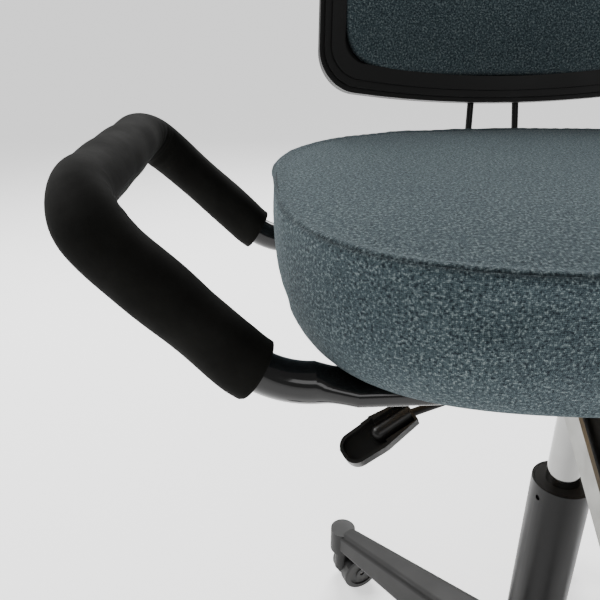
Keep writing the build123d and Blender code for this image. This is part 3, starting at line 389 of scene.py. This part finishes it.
def rounded_square(centre_y, half_width, half_depth, count):
    """Points of the seat's outline, evenly spaced along it, seen from above."""
    angle = np.linspace(0, 2 * math.pi, 4 * count, endpoint=False)
    power = np.where(np.sin(angle) > 0, REAR_SQUARENESS, FRONT_SQUARENESS)
    reach = (np.abs(np.cos(angle) / half_width) ** power
             + np.abs(np.sin(angle) / half_depth) ** power) ** (-1 / power)
    rearward = np.maximum(reach * np.sin(angle) / half_depth, 0)
    x = reach * np.cos(angle) * (1 - NARROWING * rearward ** 2)
    y = centre_y + reach * np.sin(angle)
    return even_loop(np.stack([x, y], 1), count)


def even_loop(points, count):
    """A closed loop sampled again at even steps of its length."""
    closed = np.vstack([points, points[:1]])
    travelled = np.concatenate([[0], np.cumsum(np.linalg.norm(np.diff(closed, axis=0), axis=1))])
    steps = np.linspace(0, travelled[-1], count, endpoint=False)
    return np.stack([np.interp(steps, travelled, closed[:, k]) for k in range(points.shape[1])], 1)


def loop_normals(loop):
    """Outward unit normals of a flat counter-clockwise loop."""
    ahead = np.roll(loop, -1, 0) - np.roll(loop, 1, 0)
    return unit(np.stack([ahead[:, 1], -ahead[:, 0]], 1))


def smooth_profile(keys, count):
    """A smooth curve through (inset, height) keys, sampled at even steps: Catmull-Rom."""
    keys = np.array(keys, float)
    padded = np.vstack([2 * keys[0] - keys[1], keys, 2 * keys[-1] - keys[-2]])
    fine = []
    for a, b, c, d in zip(padded, padded[1:], padded[2:], padded[3:]):
        for t in np.linspace(0, 1, 24, endpoint=False):
            fine.append(0.5 * (2 * b + (c - a) * t + (2 * a - 5 * b + 4 * c - d) * t * t
                               + (3 * b - a - 3 * c + d) * t ** 3))
    fine.append(keys[-1])
    fine = np.array(fine)
    travelled = np.concatenate([[0], np.cumsum(np.linalg.norm(np.diff(fine, axis=0), axis=1))])
    steps = np.linspace(0, travelled[-1], count)
    return np.stack([np.interp(steps, travelled, fine[:, k]) for k in range(2)], 1)


SIDE_CLOTH_START = 3.0      # the sides take their yarns from another part of the cloth than the top


def weave_map(piece, top_rows, columns, rows):
    """Gives each face corner its place on the cloth, in metres: flat on top, unrolled on the sides."""
    mesh = piece.data
    co = np.zeros(len(mesh.vertices) * 3)
    mesh.vertices.foreach_get("co", co)
    co = co.reshape(-1, 3)
    grid = co[:rows * columns].reshape(rows, columns, 3)
    ring = grid[top_rows]
    around = np.concatenate([[0], np.cumsum(np.linalg.norm(np.diff(ring, axis=0), axis=1))])
    loop_length = around[-1] + np.linalg.norm(ring[0] - ring[-1])
    down = np.concatenate([[0], np.cumsum(np.linalg.norm(np.diff(grid[:, 0], axis=0), axis=1))])
    values = np.zeros((len(mesh.loops), 3), np.float32)
    for polygon in mesh.polygons:
        cells = [mesh.loops[i].vertex_index for i in polygon.loop_indices]
        row_numbers = [c // columns if c < rows * columns else 0 for c in cells]
        on_top = max(row_numbers) <= top_rows and cells[0] != rows * columns + 1
        edge_cell = any(c < rows * columns and c % columns == columns - 1 for c in cells)
        for i, c in zip(polygon.loop_indices, cells):
            if on_top or c >= rows * columns:
                values[i] = (co[c][0], co[c][1], 0.0)
            else:
                column = c % columns
                along = around[column]
                if edge_cell and column == 0:
                    along = loop_length
                values[i] = (along + SIDE_CLOTH_START, down[c // columns], 1.0)
    attribute = mesh.attributes.new("weave", "FLOAT_VECTOR", "CORNER")
    attribute.data.foreach_set("vector", values.ravel())


CLOTH_SETTINGS = {
    "use_pressure": True,
    "vertex_group_mass": "pinned",
    "quality": 6,
    "mass": 0.4,
    "tension_stiffness": 18,
    "compression_stiffness": 12,
    "shear_stiffness": 6,
    "bending_stiffness": 2.0,
}
CLOTH_FRAMES = 20


def inflate(name, grid, pinned_rows, cap, pressure):
    """Cloth simulation on a closed form: the free panels swell between the pinned rows, at most by cap."""
    rows, columns = grid.shape[:2]
    piece = closed_form(name, grid, None)
    group = piece.vertex_groups.new(name="pinned")
    held = [row * columns + column for row in pinned_rows for column in range(columns)]
    group.add(held, 1.0, "REPLACE")
    cloth = piece.modifiers.new("Cloth", "CLOTH")
    settings = cloth.settings
    for key, value in CLOTH_SETTINGS.items():
        setattr(settings, key, value)
    settings.uniform_pressure_force = pressure
    settings.effector_weights.gravity = 0
    scene = bpy.context.scene
    for step in range(1, CLOTH_FRAMES + 1):
        scene.frame_set(step)
    shape = piece.evaluated_get(bpy.context.evaluated_depsgraph_get()).data
    co = np.zeros(len(shape.vertices) * 3)
    shape.vertices.foreach_get("co", co)
    moved = co.reshape(-1, 3)[:rows * columns].reshape(rows, columns, 3) - grid
    scene.frame_set(1)
    mesh = piece.data
    bpy.data.objects.remove(piece)
    bpy.data.meshes.remove(mesh)
    size = np.linalg.norm(moved, axis=-1, keepdims=True)
    return grid + moved * np.minimum(1.0, cap / np.maximum(size, 1e-9))


def finer(grid, row_places, column_factor):
    """The same surface on a finer grid: smooth between columns, and at the given fractional rows."""
    rows, columns = grid.shape[:2]
    u = np.arange(columns * column_factor) / column_factor
    base = np.floor(u).astype(int)
    t = (u - base)[None, :, None]
    pick = [grid[:, (base + k) % columns] for k in (-1, 0, 1, 2)]
    wide = 0.5 * (2 * pick[1] + (pick[2] - pick[0]) * t
                  + (2 * pick[0] - 5 * pick[1] + 4 * pick[2] - pick[3]) * t * t
                  + (3 * pick[1] - pick[0] - 3 * pick[2] + pick[3]) * t ** 3)
    low = np.clip(np.floor(row_places).astype(int), 0, rows - 2)
    s = (row_places - low)[:, None, None]
    return wide[low] * (1 - s) + wide[low + 1] * s


def surface_normals(grid):
    """Unit normals of a ring grid, pointing outward for rings listed from the top down."""
    along = np.roll(grid, -1, 1) - np.roll(grid, 1, 1)
    down = np.gradient(grid, axis=0)
    return unit(np.cross(down, along))


seat_low, seat_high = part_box("seat_cushion")
board_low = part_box("seat_board")[0]
seat_centre_y = (seat_low.y + seat_high.y) / 2
seat_half_width = (seat_high.x - seat_low.x) / 2
seat_half_depth = (seat_high.y - seat_low.y) / 2
CROWN_RISE = 1.5 * MM       # of the cover over the CAD cushion
SEAM_DROP = 9.5 * MM        # of the seam below the CAD cushion's top
SEAM_INSET = 6.5 * MM
SIDE_FULLNESS = 3.0 * MM    # of the cover outside the CAD cushion
FRONT_FULLNESS = 1.0 * MM
CROWN_POWER = 4             # a higher power makes the top flatter
CENTRE_SHARE = 0.04         # the first ring's size, next to the fan at the middle
SEAM_DEPTH = 3.0 * MM
SEAM_WIDTH = 1.0 * MM
# width of the painted shade along the seam
SEAM_SHADE_WIDTH = 1.5 * MM
SEAT_SWELL = 2.5 * MM
SEAT_PRESSURE = 3.0
SEAT_SEED = 11
crown_z = seat_high.z + CROWN_RISE
seam_z = seat_high.z - SEAM_DROP
under_z = board_low.z

COLUMNS = 200
TOP_ROWS = 26
BAND_ROWS = 24


def seat_grid():
    """The seat's rings: crowned top, seam, tall side band rounding under the board."""
    outline = rounded_square(seat_centre_y, seat_half_width + SIDE_FULLNESS,
                             seat_half_depth + FRONT_FULLNESS, COLUMNS)
    outward = loop_normals(outline)
    centre = np.array([0.0, seat_centre_y])
    seam_loop = outline - outward * SEAM_INSET
    rings = []
    for share in np.linspace(CENTRE_SHARE, 1.0, TOP_ROWS):
        flat = centre + (seam_loop - centre) * share
        height = seam_z + (crown_z - seam_z) * (1 - share ** CROWN_POWER)
        rings.append(np.column_stack([flat, np.full(COLUMNS, height)]))
    band = smooth_profile([
        (SEAM_INSET, seam_z), (4.6 * MM, seam_z - 13 * MM), (3.8 * MM, seam_z - 33 * MM),
        (5.5 * MM, under_z + 35 * MM), (10.5 * MM, under_z + 21 * MM), (17.5 * MM, under_z + 9.5 * MM),
        (27.0 * MM, under_z + 2.0 * MM), (40.0 * MM, under_z - 1.0 * MM), (50.0 * MM, under_z - 0.9 * MM),
        (52.0 * MM, under_z + 4 * MM),
    ], BAND_ROWS + 1)
    for inset, height in band[1:]:
        flat = outline - outward * inset
        rings.append(np.column_stack([flat, np.full(COLUMNS, height)]))
    return np.array(rings)


def upholster(grid, seam_row, seed):
    """A cushion's rings made finer, with the seam pressed into them and small puckers beside it, the seam's
    row, and how strongly each point gets painted seam shade, a darkening that stands in for the shadow in the
    groove."""
    rows = grid.shape[0]
    near_steps = np.array([0.03, 0.07, 0.12, 0.18, 0.26, 0.36, 0.5, 0.7, 1.0])
    near = seam_row + np.concatenate([-near_steps[::-1], [0], near_steps])
    above = np.arange(0, seam_row - 1, 0.5)
    below = np.arange(seam_row + 1.5, rows - 0.99, 0.5)
    places = np.concatenate([above, near, below])
    fine = finer(grid, places, 3)
    normals = surface_normals(fine)
    seam_index = len(above) + len(near_steps)
    steps = np.linalg.norm(np.diff(fine, axis=0), axis=2).mean(1)
    travelled = np.concatenate([[0], np.cumsum(steps)])
    gap = (travelled - travelled[seam_index])[:, None]
    u = np.linspace(0, 1, fine.shape[1], endpoint=False)[None, :]
    groove = -SEAM_DEPTH * np.exp(-np.abs(gap / SEAM_WIDTH) ** 1.4)
    shoulder = 0.8 * MM * np.exp(-((np.abs(gap) - 4.0 * MM) / (3.0 * MM)) ** 2)
    wave = ripple(u, seed, 9, (50, 150)) * np.exp(-np.abs(gap) / (7 * MM))
    slow = ripple(u, seed + 1, 6, (9, 30)) * np.exp(-np.abs(gap) / (22 * MM))
    shift = groove + shoulder + 0.35 * MM * wave + 0.45 * MM * slow
    # painted seam shade: how much the colour darkens beside the groove, standing in for its shadow
    shade = np.exp(-np.abs(gap / SEAM_SHADE_WIDTH) ** 2) * np.ones_like(u)
    return fine + normals * shift[..., None], seam_index, shade


grid = seat_grid()
seam_row = TOP_ROWS - 1
held_rows = [seam_row] + list(range(grid.shape[0] - 6, grid.shape[0]))
grid = inflate("seat_blank", grid, held_rows, SEAT_SWELL, SEAT_PRESSURE)
grid, seam_index, seam_shade = upholster(grid, seam_row, SEAT_SEED)
seat_cover = closed_form("seat_cover", grid, finishes["seat_fabric"])
# the painted seam shade, read by the fabric as a darkening of its colour
seam_attribute = seat_cover.data.attributes.new("seam", "FLOAT", "POINT")
seam_attribute.data.foreach_set("value", np.append(seam_shade.ravel(), [0.0, 0.0]).astype(np.float32))
weave_map(seat_cover, seam_index, grid.shape[1], grid.shape[0])
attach(seat_cover, "seat")
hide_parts("seat_cushion")


# ---- backrest pad -------------------------------------------------------------------------------
BACK_LEAN = math.radians(11.0)
BACK_WRAP = 0.6             # radius of the pad's face round the sitter, in metres
PAD_THICKNESS = 18.8 * MM
PAD_SQUARENESS = 5.0        # 2 would be an ellipse
PAD_INSET = 5.0 * MM
PAD_EDGE_DROP = 6.0 * MM
PAD_CROWN = 8.0 * MM
PAD_FACE_ROWS = 20
PAD_COLUMNS = 160
PAD_SWELL = 3.0 * MM
PAD_PRESSURE = 2.0
back_up = np.array([0, math.sin(BACK_LEAN), math.cos(BACK_LEAN)])
back_front = np.array([0, -math.cos(BACK_LEAN), math.sin(BACK_LEAN)])
pad_points = np.array([v.co for v in frame["nodes"]["back_pad"].data.vertices])


def on_back(points):
    """Row-frame points as (sideways, up, forward) of the leaning backrest."""
    return np.stack([points[:, 0], points @ back_up, points @ back_front], 1)


def off_back(local):
    """Back from (sideways, up, forward) to the row frame."""
    return (local[..., :1] * np.array([1.0, 0, 0]) + local[..., 1:2] * back_up + local[..., 2:3] * back_front)


pad_local = on_back(pad_points)
pad_low, pad_high = pad_local.min(0), pad_local.max(0)
pad_centre_up = (pad_low[1] + pad_high[1]) / 2
pad_half = np.array([(pad_high[0] - pad_low[0]) / 2, (pad_high[1] - pad_low[1]) / 2])
centre_points = pad_local[np.abs(pad_local[:, 0]) < 0.35 * pad_half[0]]
pad_rear = centre_points[:, 2].min()
pad_face = pad_rear + PAD_THICKNESS


def wrap_depth(x, forward):
    """Forward place of a surface that wraps round the sitter, forward at its centre."""
    radius = BACK_WRAP - (forward - pad_rear)
    return forward + radius - np.sqrt(np.maximum(radius ** 2 - x ** 2, 1e-9))


def pad_outline(count):
    """The pad's rounded outline in the backrest's own plane."""
    angle = np.linspace(0, 2 * math.pi, 4 * count, endpoint=False)
    across = np.abs(np.cos(angle) / pad_half[0]) ** PAD_SQUARENESS
    upward = np.abs(np.sin(angle) / pad_half[1]) ** PAD_SQUARENESS
    reach = (across + upward) ** (-1 / PAD_SQUARENESS)
    return even_loop(np.stack([reach * np.cos(angle), reach * np.sin(angle)], 1), count)


def pad_grid():
    """The pad's rings, from the middle of its face over the edge to its back."""
    outline = pad_outline(PAD_COLUMNS)
    outward = loop_normals(outline)
    rings = []
    for share in np.linspace(0.05, 1.0, PAD_FACE_ROWS):
        flat = (outline - outward * PAD_INSET) * share
        depth = pad_face - PAD_EDGE_DROP + PAD_CROWN * (1 - share ** 5)
        rings.append((flat, depth))
    edge = smooth_profile([(PAD_INSET, 0.0), (1.4 * MM, -5.0 * MM), (0.8 * MM, -9.0 * MM),
                           (1.2 * MM, -12.0 * MM)], 7)
    for inset, drop in edge[1:]:
        rings.append((outline - outward * inset, pad_face - PAD_EDGE_DROP + drop))
    grid = []
    for flat, depth in rings:
        forward = wrap_depth(flat[:, 0], depth)
        grid.append(off_back(np.column_stack([flat[:, 0], flat[:, 1] + pad_centre_up, forward])))
    return np.array(grid)


back_rings = pad_grid()
held_rows = list(range(PAD_FACE_ROWS - 1, back_rings.shape[0]))
back_rings = inflate("pad_blank", back_rings, held_rows, PAD_SWELL, PAD_PRESSURE)
back_rings = finer(back_rings, np.arange(0, back_rings.shape[0] - 0.99, 0.5), 2)
pad_cover = closed_form("back_pad_cover", back_rings, finishes["back_fabric"])
weave_map(pad_cover, back_rings.shape[0] - 1, back_rings.shape[1], back_rings.shape[0])
pad_weave = pad_cover.data.attributes["weave"]
for loop in pad_cover.data.loops:
    point = pad_cover.data.vertices[loop.vertex_index].co
    pad_weave.data[loop.index].vector = (point.x, point.z / math.cos(BACK_LEAN), 2.0)
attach(pad_cover, "backrest")
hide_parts("back_pad")


# ---- foam sleeves on the hoop arms --------------------------------------------------------------
FOAM_RADIUS = 19.0 * MM
FOAM_BORE = 12.8 * MM
BAR_X = 353.0 * MM
ARM_SLOPE = math.radians(45.1)
CORNER_RADIUS = 40.0 * MM
FOLD_RADIUS = 26.7 * MM             # the sleeve's inner face is folded in the corner, close to the tube
CORNER_OUTSIDE = 72.6 * MM          # the stretched outer face turns on a larger radius
ROOT_RADIUS = 60.0 * MM
SLEEVE_END = math.radians(33.0)     # the tube's slope where the sleeve is cut
BEND_TANGENT = ROOT_RADIUS * math.tan(ARM_SLOPE / 2)
BAR_RISE = 104.5 * MM               # from the arm's root to its bar
LIMB_LENGTH = BAR_RISE / math.sin(ARM_SLOPE)
ROOT_RINGS = 7
LIMB_RINGS = 30
CORNER_RINGS = 48
BAR_RINGS = 26                      # for half of the bar
SPOKES = 64                         # points round a ring
END_BEVEL = 1.1 * MM
WRINKLE_DEPTH = 0.55 * MM
WRINKLE_PITCH = 9.5 * MM


def arc_steps(first, last, count):
    """Angles from first up to last, leaving the last one out."""
    return np.linspace(first, last, count, endpoint=False)


def hoop_path(side, bar_x, bar_z, front_y, rear_y):
    """A sleeve's centre line from its front end to its rear end: points, tangents, outward directions
    and how far round a corner each point is, from 0 to 90 degrees, or -1 on the straights."""
    limb = np.array([side * math.cos(ARM_SLOPE), 0, math.sin(ARM_SLOPE)])
    bar = np.array([0.0, 1.0, 0.0])
    up = np.array([-side * math.sin(ARM_SLOPE), 0, math.cos(ARM_SLOPE)])
    half = []
    corner = np.array([bar_x, front_y, bar_z])
    bend_start = corner - limb * (LIMB_LENGTH - BEND_TANGENT)
    bend_centre = bend_start + up * ROOT_RADIUS
    for slope in arc_steps(SLEEVE_END, ARM_SLOPE, ROOT_RINGS):
        back = ARM_SLOPE - slope
        way = -up * math.cos(back) - limb * math.sin(back)
        tangent = limb * math.cos(back) - up * math.sin(back)
        half.append((bend_centre + way * ROOT_RADIUS, tangent, -bar, -1.0))
    straight = LIMB_LENGTH - BEND_TANGENT - CORNER_RADIUS
    for t in np.linspace(0, straight, LIMB_RINGS, endpoint=False):
        half.append((bend_start + limb * t, limb, -bar, -1.0))
    centre = corner - limb * CORNER_RADIUS + bar * CORNER_RADIUS
    for turn in arc_steps(0, math.pi / 2, CORNER_RINGS):
        way = -bar * math.cos(turn) + limb * math.sin(turn)
        tangent = limb * math.cos(turn) + bar * math.sin(turn)
        half.append((centre + way * CORNER_RADIUS, tangent, way, turn))
    middle = (front_y + rear_y) / 2
    bar_half = middle - front_y - CORNER_RADIUS
    for t in np.linspace(0, bar_half, BAR_RINGS, endpoint=False):
        half.append((corner + bar * (CORNER_RADIUS + t), bar, limb, -1.0))
    mirrored = []
    for point, tangent, outward, turn in reversed(half):
        flip = np.array([1.0, -1.0, 1.0])
        there = point * flip + np.array([0, 2 * middle, 0])
        mirrored.append((there, -tangent * flip, outward * flip, turn))
    halfway = [(corner + bar * (CORNER_RADIUS + bar_half), bar, limb, -1.0)]
    whole = half + halfway + mirrored
    return [np.array(part) for part in zip(*whole)]


def outside_cut(turn, from_corner):
    """How far the outer face lies inside a plain round sleeve's, at a place in or near a corner."""
    plain = CORNER_RADIUS + FOAM_RADIUS
    shift = CORNER_OUTSIDE - plain
    if turn >= 0:
        both = shift * (math.cos(turn) + math.sin(turn))
        return plain + both - math.sqrt(both ** 2 - 2 * shift ** 2 + CORNER_OUTSIDE ** 2)
    before = from_corner - CORNER_RADIUS * math.pi / 4
    if before >= shift:
        return 0.0
    return CORNER_OUTSIDE - math.sqrt(CORNER_OUTSIDE ** 2 - (shift - before) ** 2)


def sleeve(side, name, seed):
    """A foam sleeve: a little uneven, folded inside its corners, cut square at both ends."""
    low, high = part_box(f"arm_foam_{name}")
    bar_x = side * BAR_X
    bar_z = high.z - FOAM_RADIUS
    path, tangent, outward, turn = hoop_path(side, bar_x, bar_z, low.y + FOAM_RADIUS, high.y - FOAM_RADIUS)
    binormal = np.cross(tangent, outward)
    angle = np.linspace(0, 2 * math.pi, SPOKES, endpoint=False)
    outer_share = np.cos(angle)
    travelled = np.concatenate([[0], np.cumsum(np.linalg.norm(np.diff(path, axis=0), axis=1))])
    rng = np.random.default_rng(seed)
    swell = np.zeros((len(path), SPOKES))
    for _ in range(16):
        wave = 2 * math.pi * travelled[:, None] / (rng.uniform(0.05, 0.22))
        lean_in = rng.integers(-2, 3) * angle[None, :]
        swell += rng.uniform(0.08, 0.26) * MM * np.sin(wave + lean_in + rng.uniform(0, 6.3))
    corner_middles = [travelled[i] for i in np.flatnonzero(np.abs(turn - math.pi / 4) < 1e-3)]
    from_corner = np.min([np.abs(travelled - place) for place in corner_middles], axis=0)
    fold_side = np.clip(-outer_share, 0, 1)[None, :]
    wrinkles = (WRINKLE_DEPTH * np.sin(2 * math.pi * from_corner / WRINKLE_PITCH)
                * np.exp(-from_corner / (14 * MM)))[:, None] * fold_side ** 0.7
    rings = []
    for i in range(len(path)):
        inner = FOAM_RADIUS
        if turn[i] >= 0:
            flat_face = (CORNER_RADIUS - FOAM_RADIUS) / max(math.cos(turn[i]), math.sin(turn[i]))
            inner = CORNER_RADIUS - min(flat_face, FOLD_RADIUS)
        height = FOAM_RADIUS + 1.0 * MM * math.exp(-(from_corner[i] / (22 * MM)) ** 2)
        outer = FOAM_RADIUS - outside_cut(turn[i], from_corner[i])
        reach = np.where(outer_share > 0, outer, inner)
        uneven = swell[i] + wrinkles[i]
        extra = np.where(outer_share < -0.2, np.maximum(uneven, -0.35 * MM), uneven)
        if turn[i] >= 0:
            extra = np.where(outer_share < 0, np.maximum(extra, -0.2 * MM), extra)
        rings.append(path[i]
                     + (outer_share * (reach + extra))[:, None] * outward[i]
                     + (np.sin(angle) * (height + extra))[:, None] * binormal[i])
    rings = np.array(rings)

    def end_rings(end, along):
        """The cut end: the bevelled edge, the flat face and the first part of the bore."""
        spoke = np.cos(angle)[:, None] * outward[end] + np.sin(angle)[:, None] * binormal[end]
        face = [path[end] + spoke * (FOAM_RADIUS - END_BEVEL * 0.35) + along * END_BEVEL * 0.35]
        face.append(path[end] + spoke * (FOAM_RADIUS - END_BEVEL))
        face.append(path[end] + spoke * (FOAM_BORE + 0.5 * MM))
        face.append(path[end] + spoke * FOAM_BORE + along * 0.6 * MM)
        face.append(path[end] + spoke * FOAM_BORE + along * 9.0 * MM)
        return face

    front = end_rings(0, tangent[0])
    rear = end_rings(-1, -tangent[-1])
    grid = np.array([*reversed(front), *rings[1:-1], *rear])
    if side > 0:
        grid = grid[:, ::-1]
    piece = closed_form(f"arm_sleeve_{name}", grid, finishes["arm_foam"])
    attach(piece, "seat")
    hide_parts(f"arm_foam_{name}")
    return piece


sleeve(-1, "right", 5)
sleeve(1, "left", 6)

# ---- floor, light and camera --------------------------------------------------------------------
floor_finish = Nodes("studio_floor")
floor_finish.link(floor_finish.ramp(floor_finish.noise(floor_finish.place(), 3.0),
                                    [(0.0, (0.93, 0.93, 0.93)), (1.0, (0.95, 0.95, 0.95))]),
                  floor_finish.shader.inputs["Base Color"])
floor_finish.set(Roughness=0.9, Emission_Color=(1.0, 1.0, 1.0, 1.0), Emission_Strength=0.95)
FLOOR_REACH = 60.0
corners = [(x * FLOOR_REACH, y * FLOOR_REACH, 0) for x, y in ((-1, -1), (1, -1), (1, 1), (-1, 1))]
floor = make_object("floor", corners,
                    [(0, 1, 2, 3)], floor_finish.material, smooth=False)

world = bpy.data.worlds.new("studio")
bpy.context.scene.world = world
world.use_nodes = True
backdrop = world.node_tree.nodes["Background"]
backdrop.inputs["Color"].default_value = (1.0, 1.0, 1.0, 1.0)
ray = world.node_tree.nodes.new("ShaderNodeLightPath")
strength = world.node_tree.nodes.new("ShaderNodeMapRange")
strength.inputs["To Min"].default_value = 0.32
strength.inputs["To Max"].default_value = 1.25
world.node_tree.links.new(ray.outputs["Is Camera Ray"], strength.inputs["Value"])
world.node_tree.links.new(strength.outputs["Result"], backdrop.inputs["Strength"])


def softbox(name, place, target, size, power):
    """A large soft area light aimed at a point."""
    light = bpy.data.lights.new(name, "AREA")
    light.shape = "RECTANGLE"
    light.size, light.size_y = size
    light.energy = power
    lamp = bpy.data.objects.new(name, light)
    lamp.location = place
    lamp.rotation_euler = (Vector(target) - Vector(place)).to_track_quat("-Z", "Y").to_euler()
    bpy.context.scene.collection.objects.link(lamp)
    return lamp


seat_middle = (0.0, seat_centre_y, crown_z)
softbox("key_left", (-1.8, 0.9, 1.7), seat_middle, (1.3, 1.3), 48)
softbox("top", (0.2, 1.9, 2.2), seat_middle, (1.6, 1.6), 92)
softbox("front_floor", (-0.2, -3.4, 2.4), (0.0, -0.6, 0.0), (2.4, 1.2), 26)

CAMERA_LENS = 37.2
CAMERA_SENSOR = 36.0
CAMERA_X = -0.2511
CAMERA_Y = -0.4098
CAMERA_OVER_RIM = 0.3570            # above the outer tube's rim
CAMERA_DOWN = 24.0
CAMERA_TURN = -3.5
rim_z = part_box("outer_tube")[1].z
camera_data = bpy.data.cameras.new("camera")
camera_data.lens = CAMERA_LENS
camera_data.sensor_width = CAMERA_SENSOR
camera = bpy.data.objects.new("camera", camera_data)
camera.location = (CAMERA_X, CAMERA_Y, rim_z + CAMERA_OVER_RIM)
camera.rotation_euler = (math.radians(90 - CAMERA_DOWN), 0, math.radians(CAMERA_TURN))
bpy.context.scene.collection.objects.link(camera)
bpy.context.scene.camera = camera
